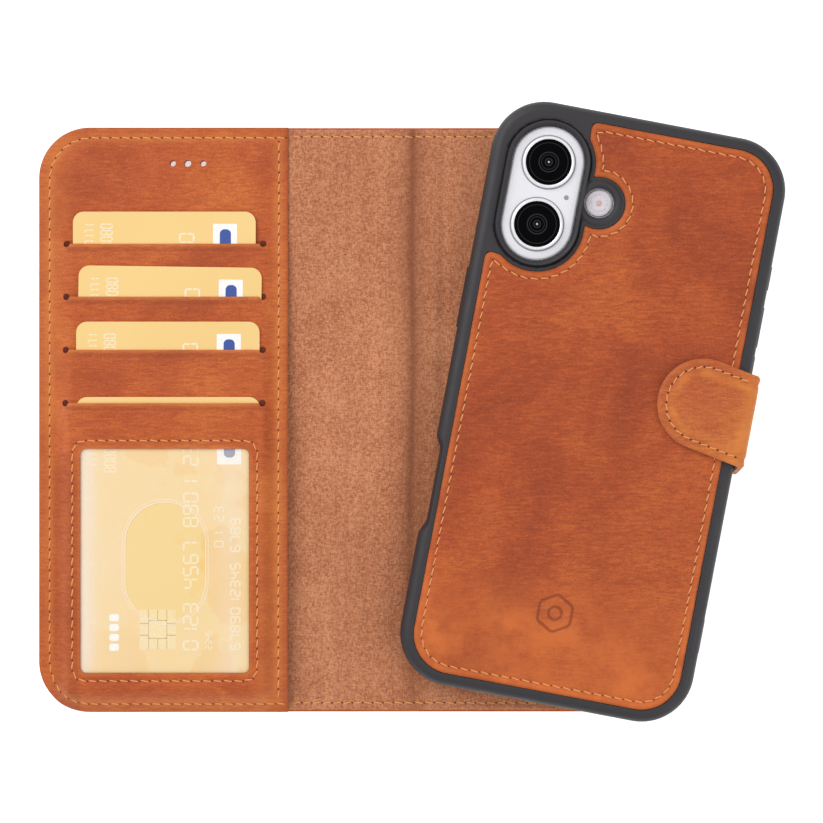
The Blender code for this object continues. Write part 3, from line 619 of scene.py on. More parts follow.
def cut(target, cutters, axes=Matrix()):
    """Cuts prisms out of a piece, and applies the cut."""
    vertices, faces = prism_shells(cutters)
    mesh = bpy.data.meshes.new("cutter")
    mesh.from_pydata(vertices, [], faces)
    mesh.transform(axes)
    helper = bpy.data.objects.new("cutter", mesh)
    bpy.context.scene.collection.objects.link(helper)
    step = target.modifiers.new("openings", "BOOLEAN")
    step.operation = "DIFFERENCE"
    step.solver = "EXACT"
    step.object = helper
    apply_modifiers(target)
    bpy.data.objects.remove(helper)


def apply_modifiers(made):
    bpy.context.view_layer.update()
    graph = bpy.context.evaluated_depsgraph_get()
    mesh = bpy.data.meshes.new_from_object(made.evaluated_get(graph))
    made.modifiers.clear()
    made.data = mesh


# ------------------------------------------------------------------ cloth
CLOTH_SCALE = 40
CLOTH_FRAMES = 40
SLACK_LIFT, PADDING_LIFT = 0.32 * MM, 0.42 * MM


def settled(outline, spacing, held, grow, pressure, frames, seed):
    """Lets a sheet that is a little too large for its outline settle as cloth, held down
    where held says so."""
    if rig.quick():
        return None
    edge = flat_array(resample(outline, spacing))
    grid = grid_over(edge, spacing, 0.5)
    grid = grid[inside(grid, edge) & (distance_to(grid, edge) > 0.5 * spacing)]
    flat, faces = triangles(np.concatenate([edge, grid]), [len(edge)], 1)
    mesh = bpy.data.meshes.new("settling")
    start = np.column_stack([flat, 0.02 * spacing * ripple(flat, 4 * spacing, seed)])
    mesh.from_pydata([tuple(v) for v in start * CLOTH_SCALE], [], [tuple(f) for f in faces])
    sheet = bpy.data.objects.new("settling", mesh)
    bpy.context.scene.collection.objects.link(sheet)
    group = sheet.vertex_groups.new(name="held")
    group.add([int(i) for i in np.flatnonzero(held(flat))], 1.0, "REPLACE")
    cloth = sheet.modifiers.new("cloth", "CLOTH")
    settings = cloth.settings
    settings.quality = 5
    settings.mass = 0.2
    settings.air_damping = 3
    settings.tension_stiffness = settings.compression_stiffness = 25
    settings.shear_stiffness = 10
    settings.bending_stiffness = 0.4
    settings.vertex_group_mass = "held"
    settings.shrink_min = -grow
    settings.use_pressure = pressure > 0
    settings.uniform_pressure_force = pressure
    settings.effector_weights.gravity = 0
    cloth.collision_settings.use_collision = False
    scene = bpy.context.scene
    for frame_number in range(1, frames + 1):
        scene.frame_set(frame_number)
    result = sheet.evaluated_get(bpy.context.evaluated_depsgraph_get()).to_mesh()
    vertices = [vertex.co / CLOTH_SCALE for vertex in result.vertices]
    polygons = [tuple(face.vertices) for face in result.polygons]
    scene.frame_set(1)
    bpy.data.objects.remove(sheet)
    heights = np.array([vertex.z for vertex in vertices])
    return BVHTree.FromPolygons(vertices, polygons), float(np.abs(heights).max())


def cloth_height(cloth, points, most):
    """The settled cloth over some points, with its highest point made this high."""
    tree, peak = cloth
    heights = np.zeros(len(points))
    for i, (x, y) in enumerate(points):
        hit = tree.ray_cast(Vector((x, y, 1)), Vector((0, 0, -1)))[0]
        if hit is not None:
            heights[i] = hit.z
    return heights * most / peak


# ------------------------------------------------------------------ materials
def srgb(red, green, blue):
    """A linear colour from display values of 0 to 255."""
    def one(value):
        value /= 255
        return value / 12.92 if value <= 0.04045 else ((value + 0.055) / 1.055) ** 2.4
    return (one(red), one(green), one(blue), 1)


class Look:
    """A Principled material with short calls for the nodes that drive it."""

    def __init__(self, name):
        self.made = bpy.data.materials.new(name)
        self.made.use_nodes = True
        self.nodes = self.made.node_tree.nodes
        self.links = self.made.node_tree.links
        self.shader = self.nodes["Principled BSDF"]
        self.where = self.nodes.new("ShaderNodeTexCoord").outputs["Object"]

    def set(self, **values):
        for key, value in values.items():
            self.shader.inputs[key.replace("_", " ")].default_value = value
        return self

    def feed(self, socket, value):
        """Sets a socket to a value, or links another node's output to it."""
        if isinstance(value, bpy.types.NodeSocket):
            self.links.new(value, socket)
        else:
            socket.default_value = value

    def add(self, kind, output, **values):
        """Adds a node with its inputs, and gives one of its outputs."""
        node = self.nodes.new("ShaderNode" + kind)
        for key, value in values.items():
            self.feed(node.inputs[key.replace("_", " ")], value)
        return node.outputs[output]

    def stretched(self, x, y, z):
        return self.add("Mapping", "Vector", Vector=self.where, Scale=(x, y, z))

    def noise(self, scale, detail=4, rough=0.6, vector=None, distort=0.0):
        return self.add("TexNoise", "Fac", Vector=vector or self.where, Scale=scale,
                        Detail=detail, Roughness=rough, Distortion=distort)

    def cells(self, scale):
        return self.add("TexVoronoi", "Distance", Vector=self.where, Scale=scale)

    def attribute(self, name):
        node = self.nodes.new("ShaderNodeAttribute")
        node.attribute_name = name
        return node.outputs["Fac"]

    def ramp(self, factor, *stops):
        node = self.nodes.new("ShaderNodeValToRGB")
        elements = node.color_ramp.elements
        while len(elements) < len(stops):
            elements.new(0.5)
        for element, (at, colour) in zip(elements, stops):
            element.position = at
            element.color = colour
        self.links.new(factor, node.inputs["Fac"])
        return node.outputs["Color"]

    def fade(self, factor, low, high, to_low=0.0, to_high=1.0):
        return self.add("MapRange", "Result", Value=factor, From_Min=low, From_Max=high,
                        To_Min=to_low, To_Max=to_high)

    def grey(self, value):
        return self.add("CombineColor", "Color", Red=value, Green=value, Blue=value)

    def math(self, kind, a, b):
        node = self.nodes.new("ShaderNodeMath")
        node.operation = kind
        for socket, value in zip(node.inputs, (a, b)):
            self.feed(socket, value)
        return node.outputs["Value"]

    def mix(self, factor, a, b, kind="MIX"):
        node = self.nodes.new("ShaderNodeMix")
        node.data_type = "RGBA"
        node.blend_type = kind
        for key, value in (("Factor", factor), (6, a), (7, b)):
            self.feed(node.inputs[key], value)
        return node.outputs[2]

    def bump(self, height, distance, strength=1.0, **normal):
        return self.add("Bump", "Normal", Height=height, Distance=distance, Strength=strength,
                        **normal)

    def wire(self, output, socket):
        self.links.new(output, self.shader.inputs[socket])
        return self


def leather(name, dark, middle, light, edge):
    """Pull-up leather: cloudy colour, fine pores, wrinkles and a paler worn edge."""
    look = Look(name)
    cloud = look.noise(26, 6, 0.6, distort=0.5)
    colour = look.ramp(cloud, (0.34, dark), (0.5, middle), (0.66, light))
    streak = look.noise(1, 5, 0.7, look.stretched(260, 1500, 260), distort=0.8)
    colour = look.mix(look.fade(streak, 0.42, 0.66, 0.0, 0.75), colour, dark)
    colour = look.mix(look.fade(streak, 0.5, 0.3, 0.0, 0.5), colour, light)
    speckle = look.fade(look.noise(1900, 3, 0.6), 0.35, 0.7, 0.84, 1.14)
    colour = look.mix(1.0, colour, look.grey(speckle), "MULTIPLY")
    # Paler where the leather is worn, and on the tab's flap also where a highlight is painted inside the seam.
    worn = look.math("MULTIPLY", look.attribute("worn"),
                     look.fade(look.noise(150, 4), 0.32, 0.6, 0.35, 0.95))
    colour = look.mix(worn, colour, edge)
    # Darker leather where the attribute says so: painted shade in the creases under the slots, and a darker rim, band
    # and pressed mark.
    colour = look.mix(look.attribute("pressed"), colour, srgb(112, 46, 26))
    look.wire(colour, "Base Color")
    normal = look.bump(look.noise(520, 5, 0.65, distort=0.6), 0.1 * MM, 0.5)
    normal = look.bump(streak, 0.2 * MM, 0.5, Normal=normal)
    look.wire(look.bump(look.cells(1250), 0.05 * MM, 0.5, Normal=normal), "Normal")
    look.wire(look.fade(look.noise(90, 3), 0.3, 0.7, 0.48, 0.66), "Roughness")
    return look.set(Specular_IOR_Level=0.28).made


def microfibre(name, dark, middle, light):
    """Brushed lining: a fine weave with soft patches and small pits."""
    look = Look(name)
    patches = look.noise(40, 6, 0.7, distort=0.5)
    upright = look.noise(1, 3, 0.75, look.stretched(2300, 900, 900))
    level = look.noise(1, 3, 0.75, look.stretched(900, 2300, 900))
    weave = look.math("MULTIPLY", look.math("ADD", upright, level), 0.5)
    both = look.math("ADD", look.math("MULTIPLY", patches, 0.16),
                     look.math("MULTIPLY", weave, 0.84))
    colour = look.ramp(both, (0.42, dark), (0.5, middle), (0.58, light))
    brushed = look.noise(1, 4, 0.6, look.stretched(160, 30, 160))
    colour = look.mix(look.fade(brushed, 0.4, 0.75, 0.0, 0.16), colour, dark)
    pits = look.fade(look.noise(700, 2, 0.5), 0.33, 0.25, 0.0, 0.6)
    colour = look.mix(pits, colour, srgb(128, 76, 54))
    # Painted shade in the lining's creases and beside the case, and a darker tone towards its top and bottom.
    colour = look.mix(look.attribute("pressed"), colour, srgb(120, 66, 44))
    look.wire(colour, "Base Color")
    normal = look.bump(patches, 0.3 * MM, 0.3)
    look.wire(look.bump(weave, 0.25 * MM, 0.7, Normal=normal), "Normal")
    return look.set(Roughness=0.95, Specular_IOR_Level=0.15, Sheen_Weight=0.25,
                    Sheen_Roughness=0.5).made


def moulded(name, colour, roughness, grain=1800, depth=0.02 * MM, metallic=0.0, spread=0.05):
    """Moulded or machined surfaces: one colour with fine grain and uneven gloss."""
    look = Look(name)
    speck = look.noise(grain, 2, 0.5)
    darker = tuple(c * 0.85 for c in colour[:3]) + (1,)
    look.wire(look.mix(look.fade(speck, 0.3, 0.7), darker, colour), "Base Color")
    look.wire(look.bump(speck, depth, 0.4), "Normal")
    look.wire(look.fade(look.noise(140, 3), 0.3, 0.7, roughness - spread, roughness + spread),
              "Roughness")
    return look.set(Metallic=metallic).made


def card_look():
    """Gold card print: a soft gradient with land-like patches, paler and deeper."""
    look = Look("gold_card_print")
    wide = look.noise(36, 6, 0.5, distort=0.3)
    colour = look.ramp(look.noise(14, 2), (0.35, srgb(236, 198, 126)), (0.65, srgb(239, 204, 134)))
    upward = look.stretched(0, 3, 0)
    below = look.fade(upward, 6 * MM, -4 * MM)
    patches = look.math("MULTIPLY", look.fade(wide, 0.485, 0.505, 0.0, 0.85), below)
    colour = look.mix(patches, colour, srgb(238, 209, 148))
    colour = look.mix(look.fade(look.noise(60, 5, 0.6), 0.56, 0.59, 0.0, 0.35), colour,
                      srgb(242, 200, 118))
    look.wire(colour, "Base Color")
    look.wire(look.bump(look.noise(2200, 2), 0.01 * MM, 0.3), "Normal")
    return look.set(Roughness=0.38).made


def film_look():
    """Clear vinyl: seen through, with a soft skin of painted reflection and a faint painted glow."""
    look = Look("clear_vinyl")
    faint = look.fade(look.noise(30, 3), 0.35, 0.7, 0.05, 0.15)
    look.wire(look.math("ADD", faint, look.attribute("sheen")), "Alpha")
    look.wire(look.bump(look.noise(60, 3), 0.2 * MM, 0.3), "Normal")
    # The emission is a painted glow that lightens the film's painted reflection.
    return look.set(Base_Color=(1, 0.95, 0.86, 1), Roughness=0.2,
                    Emission_Color=(1, 0.93, 0.8, 1), Emission_Strength=0.05).made


LEATHER = leather("tan_leather", srgb(162, 71, 33), srgb(187, 88, 41), srgb(204, 109, 50),
                  srgb(210, 124, 58))
CASE_LEATHER = leather("case_leather", srgb(148, 62, 31), srgb(174, 78, 37), srgb(195, 98, 45),
                       srgb(208, 109, 50))
SUEDE = microfibre("suede_lining", srgb(162, 96, 65), srgb(192, 124, 88), srgb(213, 149, 110))
THREAD = moulded("waxed_thread", srgb(236, 162, 96), 0.6, 5000, 0.05 * MM)
# Painted shade for the needle holes.
NEEDLE_SHADE = moulded("needle_hole", srgb(96, 40, 20), 0.8)
# Painted shade for the round ends of the slits.
SLOT_SHADE = moulded("slot_end", srgb(98, 36, 20), 0.9)
TPU = moulded("black_bumper", srgb(44, 41, 45), 0.55, 2600, 0.015 * MM)
PRINT = card_look()
FILM = film_look()
BOARD = moulded("grey_board", srgb(150, 144, 134), 0.9, 900, 0.05 * MM)
STEEL = moulded("bare_steel", srgb(180, 180, 182), 0.35, 900, 0.01 * MM, 1.0)
PHONE_BACK = moulded("phone_glass", srgb(236, 235, 240), 0.3, 3000, 0.002 * MM)
RING = moulded("lens_ring_metal", srgb(250, 250, 252), 0.3, 3000, 0.002 * MM, 0.3)
BLACK_GLASS = moulded("lens_glass", srgb(20, 20, 22), 0.08, 3000, 0.001 * MM, 0.0, 0.02)
LENS_GLASS = moulded("black_lens", srgb(5, 5, 7), 0.08, 3000, 0.001 * MM, 0.0, 0.02)
LENS_GLASS.node_tree.nodes["Principled BSDF"].inputs["Specular IOR Level"].default_value = 0.04
TAB_LEATHER = leather("tab_leather", srgb(166, 76, 40), srgb(188, 94, 48), srgb(204, 114, 56),
                      srgb(216, 130, 58))
RING_SHADE = moulded("ring_shade", srgb(150, 150, 156), 0.4, 3000, 0.002 * MM)
LENS_GREY = moulded("lens_grey", srgb(18, 18, 20), 0.3, 3000, 0.002 * MM)
GLINT = moulded("lens_glint", srgb(190, 190, 196), 0.3, 3000, 0.002 * MM)
FLASH_LOOK = moulded("flash_white", srgb(224, 218, 224), 0.3, 1500, 0.01 * MM)
FLASH_CORE = moulded("flash_core", srgb(214, 176, 174), 0.4, 1500, 0.01 * MM)
EMBOSS = moulded("embossed_print", srgb(250, 232, 196), 0.4, 3000, 0.005 * MM)
WHITE_PRINT = moulded("white_print", srgb(252, 250, 246), 0.4, 3000, 0.002 * MM)
BLUE_PRINT = moulded("blue_print", srgb(58, 84, 160), 0.4, 3000, 0.002 * MM)
CHIP_GOLD = moulded("chip_gold", srgb(248, 224, 170), 0.35, 3000, 0.002 * MM)
CHIP_LINE = moulded("chip_lines", srgb(196, 160, 116), 0.5, 3000, 0.002 * MM)


# ------------------------------------------------------------------ folio covers
FRONT_BEND = (FRONT_FOLD_X - 0.8 * MM, SPINE_LEFT_X + 0.3 * MM)
BACK_BEND = (SPINE_RIGHT_X - 0.3 * MM, BACK_FOLD_X + 0.8 * MM)
SPEAKERS = ((-110.5 * MM, 0.9 * MM), (-106.1 * MM, 1.05 * MM), (-101.5 * MM, 0.9 * MM))
SPEAKER_Y = 75.9 * MM


def speaker_loops():
    return [circle((x, SPEAKER_Y), radius, 0.3 * MM) for x, radius in SPEAKERS]


def bend_columns(bend):
    return np.arange(bend[0] - 1 * MM, bend[1] + 1 * MM, 0.35 * MM)


def blended(made, parent, child, bend):
    """Bends a folio sheet about a fold that runs along Y."""
    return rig.blend(made, parent, child, (bend[0], 0, LINING_TOP), (bend[1], 0, LINING_TOP))


def folio_half(front, inset):
    """The outline of one half of the open folio, from its edge to the spine's middle."""
    high, radius = HALF_HEIGHT - inset, COVER_CORNER - inset
    if front:
        return rounded(LEFT_X + inset, SPINE_MIDDLE_X, -high, high, radius, 0, 0, radius)
    return rounded(SPINE_MIDDLE_X, RIGHT_X - inset, -high, high, 0, radius, radius, 0)


def folio_edge_gap(points):
    outline = even(LEFT_X, RIGHT_X, -HALF_HEIGHT, HALF_HEIGHT, COVER_CORNER)
    return distance_to(points, resample(outline, 2 * MM))


PALE_LINE = 2.9 * MM


def seam_worn(gap):
    """Leather pulled up by its edge seam: palest along the stitches, less so at the rim."""
    return 0.6 * bell(gap - PALE_LINE, 1.5 * MM) + 0.2 * (1 - smooth(gap / (1.4 * MM)))


def folio_worn(points, gap):
    return seam_worn(folio_edge_gap(points))


def outer_bottom(points, gap):
    edge = folio_edge_gap(points)
    round_off = 0.45 * MM * (1 - smooth(edge / (1.2 * MM)))
    groove = 0.14 * MM * bell(edge - STITCH_INSET, 0.5 * MM)
    return round_off + groove


BOARD_INSET = 3.6 * MM


def outer_top(points, gap):
    """The outer leather reaches up to the lining along the edge, where the board stops."""
    edge = folio_edge_gap(points)
    return np.where(edge < BOARD_INSET, LINING_FLOOR - 0.1 * MM, LEATHER_TOP)


SLACK_LEFT_X = PANEL_RIGHT_X + 1.5 * MM
SLACK_RIGHT_X = -22 * MM
SLACK_HALF_Y = HALF_HEIGHT - STITCH_INSET - 1 * MM


def lining_slack():
    """The lining over the spine, cut a little loose so that the folio can close."""
    def held(flat):
        return ((flat[:, 0] < SLACK_LEFT_X + 2 * MM) | (flat[:, 0] > SLACK_RIGHT_X - 2 * MM)
                | (np.abs(flat[:, 1]) > SLACK_HALF_Y - 1.6 * MM))

    return settled(rounded(SLACK_LEFT_X, SLACK_RIGHT_X, -SLACK_HALF_Y, SLACK_HALF_Y), 1.5 * MM,
                   held, grow=0.006, pressure=0, frames=CLOTH_FRAMES, seed=2.0)


def crease_wobble(points):
    return ripple(points * [0.2, 1], 45 * MM, 3.0) * 0.9 * MM


def crease_shade(points):
    """Painted shade on the lining: in its creases, and a broad band at the main crease beside
    the case, where the case's shadow falls; the lining is also made darker towards its top and bottom.
    """
    away = points[:, 0] - crease_wobble(points)
    upper = 0.3 + 0.7 * smooth((points[:, 1] + 55 * MM) / (45 * MM))
    shade = 0.45 * bell(away - MAIN_CREASE_X, 4.2 * MM) * (0.5 + 0.5 * upper)
    shade += 0.3 * bell(away - MAIN_CREASE_X, 0.8 * MM) * upper
    shade += sum(0.16 * depth / (0.3 * MM) * bell(away - place, 0.6 * width)
                 for place, depth, width in CREASES[1:])
    shade += 0.1 * smooth((np.abs(points[:, 1]) - 15 * MM) / (35 * MM))
    return np.clip(shade, 0, 0.8)


def lining_height(points):
    """The lining's surface: pulled slack over the spine in creases that run up the folio."""
    x = points[:, 0]
    wobble = crease_wobble(points)
    height = np.full(len(points), LINING_TOP)
    for place, depth, width in CREASES:
        height -= depth * bell(x - place - wobble, width)
    height += 0.08 * MM * ripple(points, 14 * MM, 7.0)
    if SLACK:
        height += cloth_height(SLACK, points, SLACK_LIFT)
    stitch = folio_edge_gap(points) - STITCH_INSET
    height -= 0.2 * MM * bell(stitch, 0.6 * MM)
    return np.maximum(height, LINING_FLOOR + 0.12 * MM)


MAIN_CREASE_X = -39.4 * MM
CREASES = ((MAIN_CREASE_X, 0.4 * MM, 1.0 * MM), (-45.5 * MM, 0.1 * MM, 1.2 * MM),
           (-53.5 * MM, 0.14 * MM, 1.3 * MM), (-58.5 * MM, 0.2 * MM, 1.0 * MM),
           (-61.5 * MM, 0.16 * MM, 1.0 * MM), (-67.0 * MM, 0.14 * MM, 1.2 * MM),
           (-71.5 * MM, 0.1 * MM, 1.1 * MM), (-31.0 * MM, 0.35 * MM, 1.6 * MM))


def lining_top(points, gap):
    edge = folio_edge_gap(points)
    height = lining_height(points) - 0.25 * MM * (1 - smooth((edge - 0.5 * MM) / (0.7 * MM)))
    return np.maximum(height, LINING_FLOOR + 0.1 * MM)


def covers():
    """The folio's outside and lining, in two halves that each bend at their own fold."""
    made = []
    for front in (True, False):
        side = "front" if front else "back"
        bend = FRONT_BEND if front else BACK_BEND
        holes = speaker_loops() if front else []
        columns = bend_columns(bend)
        outer = skin("folio_leather_" + side, folio_half(front, 0), outer_top, outer_bottom,
                     LEATHER, holes, 1.3 * MM, columns=columns, worn=folio_worn)
        lining = skin("folio_lining_" + side, folio_half(front, 0.5 * MM), lining_top,
                      flat_at(LINING_FLOOR - 0.05 * MM), SUEDE, holes, 0.9 * MM,
                      rings=LINING_RINGS, columns=columns, worn=folio_worn)
        pair = ("front_cover", "spine") if front else ("spine", "back_cover")
        # The lining's painted shade in its creases and beside the case.
        set_attribute(lining, "pressed", crease_shade(flat_points(lining)))
        for piece in (outer, lining):
            blended(piece, *pair, bend)
        made.append((outer, lining))
    (front_outer, front_lining), (back_outer, back_lining) = made
    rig.replaces(front_outer, "front_leather")
    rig.replaces(front_lining, "front_lining")
    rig.replaces(back_outer, "back_leather", "spine_leather")
    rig.replaces(back_lining, "back_lining", "spine_lining")
    for outer, lining in made:
        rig.slot(outer, "leather")
        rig.slot(lining, "lining")


def folio_seams():
    """The edge seam of the folio, on the lining side and on the outer side."""
    run = HALF_HEIGHT - STITCH_INSET
    right = RIGHT_X - STITCH_INSET
    turn = COVER_CORNER - STITCH_INSET
    level = lambda points: lining_height(points) + STITCH_LIFT
    under = lambda points: outer_bottom(points, None)
    back = ([(SPINE_MIDDLE_X, -run)] + arc((right - turn, turn - run), turn, -90, 0)
            + arc((right - turn, run - turn), turn, 0, 90) + [(SPINE_MIDDLE_X, run)])
    left = LEFT_X + STITCH_INSET
    front_whole = ([(SPINE_MIDDLE_X, run)] + arc((left + turn, run - turn), turn, 90, 180)
                   + arc((left + turn, turn - run), turn, 180, 270) + [(SPINE_MIDDLE_X, -run)])
    pieces = []
    for end, sign in (("top", 1), ("bottom", -1)):
        path = [(SPINE_MIDDLE_X, sign * run), (PANEL_RIGHT_X + 1 * MM, sign * run)]
        piece = seam("lining_stitches_front_" + end, path, level, False, side=sign)
        pieces.append((piece, "front_cover", "spine", FRONT_BEND))
    pieces.append((seam("lining_stitches_back", back, level, False), "spine", "back_cover",
                   BACK_BEND))
    turned_over = lambda vertices: vertices * [1, 1, -1]
    for name, path, a, b, bend in (
            ("outer_stitches_back", back, "spine", "back_cover", BACK_BEND),
            ("outer_stitches_front", front_whole, "front_cover", "spine", FRONT_BEND)):
        piece = seam(name, path, lambda points: -under(points), False, fold=turned_over)
        piece.data.flip_normals()
        pieces.append((piece, a, b, bend))
    for piece, a, b, bend in pieces:
        blended(piece, a, b, bend)
        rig.slot(piece, "thread")
    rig.replaces(pieces[2][0], "back_edge_thread")
    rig.replaces(pieces[0][0], "spine_thread_top")
    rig.replaces(pieces[1][0], "spine_thread_bottom")


# ------------------------------------------------------------------ pocket panel
PANEL_THICK = 0.42 * MM
SLIT_END = 0.95 * MM
ABOVE_ALL = 12 * MM
RIM_REACH = 0.9 * MM
PANEL_LOW_LEVEL = STRIP_TOPS[0]
SEAM_LEFT_X = LEFT_X + STITCH_INSET + 0.5 * MM
SEAM_RIGHT_X = PANEL_RIGHT_X - 2.7 * MM
CARD_BOTTOM_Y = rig.box("card_4")[0].y
CARD_LEFT_X = min(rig.box("card_%d" % k)[0].x for k in (1, 2, 3, 4)) - 0.3 * MM
CARD_RIGHT_X = max(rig.box("card_%d" % k)[1].x for k in (1, 2, 3, 4)) + 0.3 * MM


def window_path(grow, radius):
    """The window's outline, moved outwards, with round corners."""
    x0, x1, y0, y1 = WINDOW
    return even(x0 - grow, x1 + grow, y0 - grow, y1 + grow, radius)


WINDOW_OPENING = window_path(0, 1.6 * MM)
WINDOW_SEAM_PATH = window_path(2.4 * MM, 3 * MM)


def panel_seams():
    """The paths of the panel's edge seam and of the seam at its open side."""
    run = HALF_HEIGHT - STITCH_INSET
    turn = COVER_CORNER - STITCH_INSET
    top = run - 0.4 * MM
    edge = ([(PANEL_RIGHT_X - 0.6 * MM, top)]
            + arc((SEAM_LEFT_X + turn, top - turn), turn, 90, 180)
            + arc((SEAM_LEFT_X + turn, turn - run), turn, 180, 270)
            + [(PANEL_RIGHT_X - 0.6 * MM, -run)])
    side = [(SEAM_RIGHT_X, run - 1.5 * MM), (SEAM_RIGHT_X, 1.5 * MM - run)]
    return edge, side


def strip_of(y):
    """Which strip (0 at the top) a height on the panel belongs to."""
    return sum((y < slot).astype(int) if hasattr(y, "astype") else int(y < slot)
               for slot in SLOT_Y)


def slope(t):
    """A soft but even rise from 0 to 1."""
    return 0.35 * smooth(t) + 0.65 * np.clip(t, 0, 1)


def panel_level(points, strip):
    """The panel's height from the stack of cards under it, before seams and softness."""
    x, y = points[:, 0], points[:, 1]
    beyond = np.maximum(SLOT_LEFT_X - x, x - SLOT_RIGHT_X)
    within = beyond < -0.01 * MM
    width = np.clip(beyond * 1.5, 0.02 * MM, 7 * MM)
    level = np.full(len(points), STRIP_TOPS[0])
    for k, slot in enumerate(SLOT_Y):
        rise = STRIP_TOPS[k + 1] - STRIP_TOPS[k]
        ramp = smooth((slot - y) / (2 * width) + 0.5)
        step = (strip > k).astype(float)
        level = level + rise * np.where(within, step, ramp)
    left_foot, right_foot = SEAM_LEFT_X + 0.8 * MM, SEAM_RIGHT_X - 0.9 * MM
    left = slope((x - left_foot) / (CARD_LEFT_X - left_foot))
    right = 0.6 + 0.4 * slope((right_foot - x) / (right_foot - CARD_RIGHT_X))
    foot = 0.3 * MM - HALF_HEIGHT
    bottom = slope((y - foot) / (CARD_BOTTOM_Y - 0.3 * MM - foot))
    return PANEL_LOW_LEVEL + (level - PANEL_LOW_LEVEL) * left * right * bottom


def panel_height(points, strip):
    """The panel's finished surface, with pressed seams and slightly rolled slot edges."""
    z = panel_level(points, strip)
    edge, side = panel_seams()
    for path, closed in ((edge, False), (side, False), (WINDOW_SEAM_PATH, True)):
        z = z - 0.2 * MM * bell(distance_to(points, path, closed), 0.55 * MM)
    return z + 0.05 * MM * ripple(points, 9 * MM, 1.0)


def panel_rows():
    """Row heights: close rows near the round corners, and doubled rows at the slots."""
    step = 0.62 * MM
    rows = []
    for k in range(5):
        high = HALF_HEIGHT if k == 0 else SLOT_Y[k - 1]
        low = SLOT_Y[k] if k < 4 else -HALF_HEIGHT
        count = max(2, int(round((high - low) / step)))
        values = list(np.linspace(high, low, count + 1))
        if k in (0, 4):
            end = high if k == 0 else low
            sign = -1 if k == 0 else 1
            near = [end + sign * COVER_CORNER * (1 - math.cos(a))
                    for a in np.linspace(0, math.pi / 2, 40)]
            far = [v for v in values if abs(v - end) > COVER_CORNER + step / 2]
            values = sorted(near + far, reverse=True)
        rows.append(values)
    return rows


def left_edge(y):
    """The panel's left edge at a height, round at its corners."""
    past = abs(y) - (HALF_HEIGHT - COVER_CORNER)
    if past <= 0:
        return LEFT_X
    return LEFT_X + COVER_CORNER - math.sqrt(max(0, COVER_CORNER ** 2 - past ** 2))


def panel_columns():
    """Distances from the panel's left edge, closer at the edges and exact at the slots."""
    step = 0.6 * MM
    marks = [0, SLOT_LEFT_X - LEFT_X, SLOT_RIGHT_X - LEFT_X, PANEL_RIGHT_X - LEFT_X]
    values = []
    for a, b in zip(marks, marks[1:]):
        count = max(2, int(round((b - a) / step)))
        values += list(np.linspace(a, b, count + 1))[:-1]
    values += [marks[-1]]
    edge = [0.12 * MM, 0.3 * MM]
    return sorted(values + edge + [marks[-1] - e for e in edge])


def pocket_panel():
    """One leather sheet with four slits: strips meet beyond the slits and part in them."""
    columns = panel_columns()
    width = PANEL_RIGHT_X - LEFT_X
    points, strips, faces = [], [], []
    for k, rows in enumerate(panel_rows()):
        tucked = []
        if k < 4:
            tucked = [rows[-1] - t for t in (0.5 * MM, 1.0 * MM, 1.5 * MM)]
        table = {}
        for r, y in enumerate(rows + tucked):
            start = left_edge(y)
            for c, column in enumerate(columns):
                x = start + column * (PANEL_RIGHT_X - start) / width
                if r >= len(rows) and not SLOT_LEFT_X < x < SLOT_RIGHT_X:
                    continue
                table[r, c] = len(points)
                points.append((x, y))
                strips.append(k)
        for (r, c), a in table.items():
            b, d, e = table.get((r, c + 1)), table.get((r + 1, c)), table.get((r + 1, c + 1))
            if None not in (b, d, e):
                faces.append((a, d, e, b))
    flat, strip = np.array(points), np.array(strips)
    z = panel_height(flat, strip)
    outline = rounded(LEFT_X, PANEL_RIGHT_X, -HALF_HEIGHT, HALF_HEIGHT, COVER_CORNER, 0, 0,
                      COVER_CORNER)
    gap = distance_to(flat, resample(outline, 2 * MM))
    z = z - 0.28 * MM * (1 - smooth(gap / (0.7 * MM)))
    for k, slot in enumerate(SLOT_Y):
        open_here = (flat[:, 0] > SLOT_LEFT_X) & (flat[:, 0] < SLOT_RIGHT_X)
        lip = (strip == k + 1) & open_here
        below = slot - flat[:, 1]
        rolled = 0.16 * MM * (1 - smooth(below / (0.5 * MM)))
        creased = 0.2 * MM * bell(below - 1.6 * MM, 0.35 * MM)
        z = np.where(lip, z - rolled - creased, z)
        tucked_in = (strip == k) & open_here
        z = np.where(tucked_in, z - 0.4 * MM * smooth(1 + (slot - flat[:, 1]) / (0.9 * MM)), z)
    made = add_object("pocket_panel", np.column_stack([flat, z]), faces, LEATHER)
    worn = np.maximum(seam_worn(gap), 0.8 * worn_edge(slot_gap(flat)))
    set_attribute(made, "worn", np.clip(worn + panel_paler(flat), 0, 1))
    # A darker rim and band, and painted shade in the creases under the slots.
    set_attribute(made, "pressed", panel_darker_and_crease_shade(flat, gap))
    clean_mesh(made.data, 0.01 * MM)
    thick = made.modifiers.new("leather", "SOLIDIFY")
    thick.thickness = PANEL_THICK
    thick.offset = -1
    apply_modifiers(made)
    openings = [(WINDOW_OPENING, STRIP_TOPS[4] - 0.9 * MM, ABOVE_ALL)]
    round_ends = [circle((x, slot), SLIT_END, 0.3 * MM) for slot in SLOT_Y
                  for x in (SLOT_LEFT_X, SLOT_RIGHT_X)]
    openings += [(loop, 0, ABOVE_ALL) for loop in speaker_loops() + round_ends]
    cut(made, openings)
    made.data.shade_smooth()
    made.data.set_sharp_from_angle(angle=SHARP)
    ride(made, "front_cover", "leather", "pocket_leather")
    slot_end_shadows()


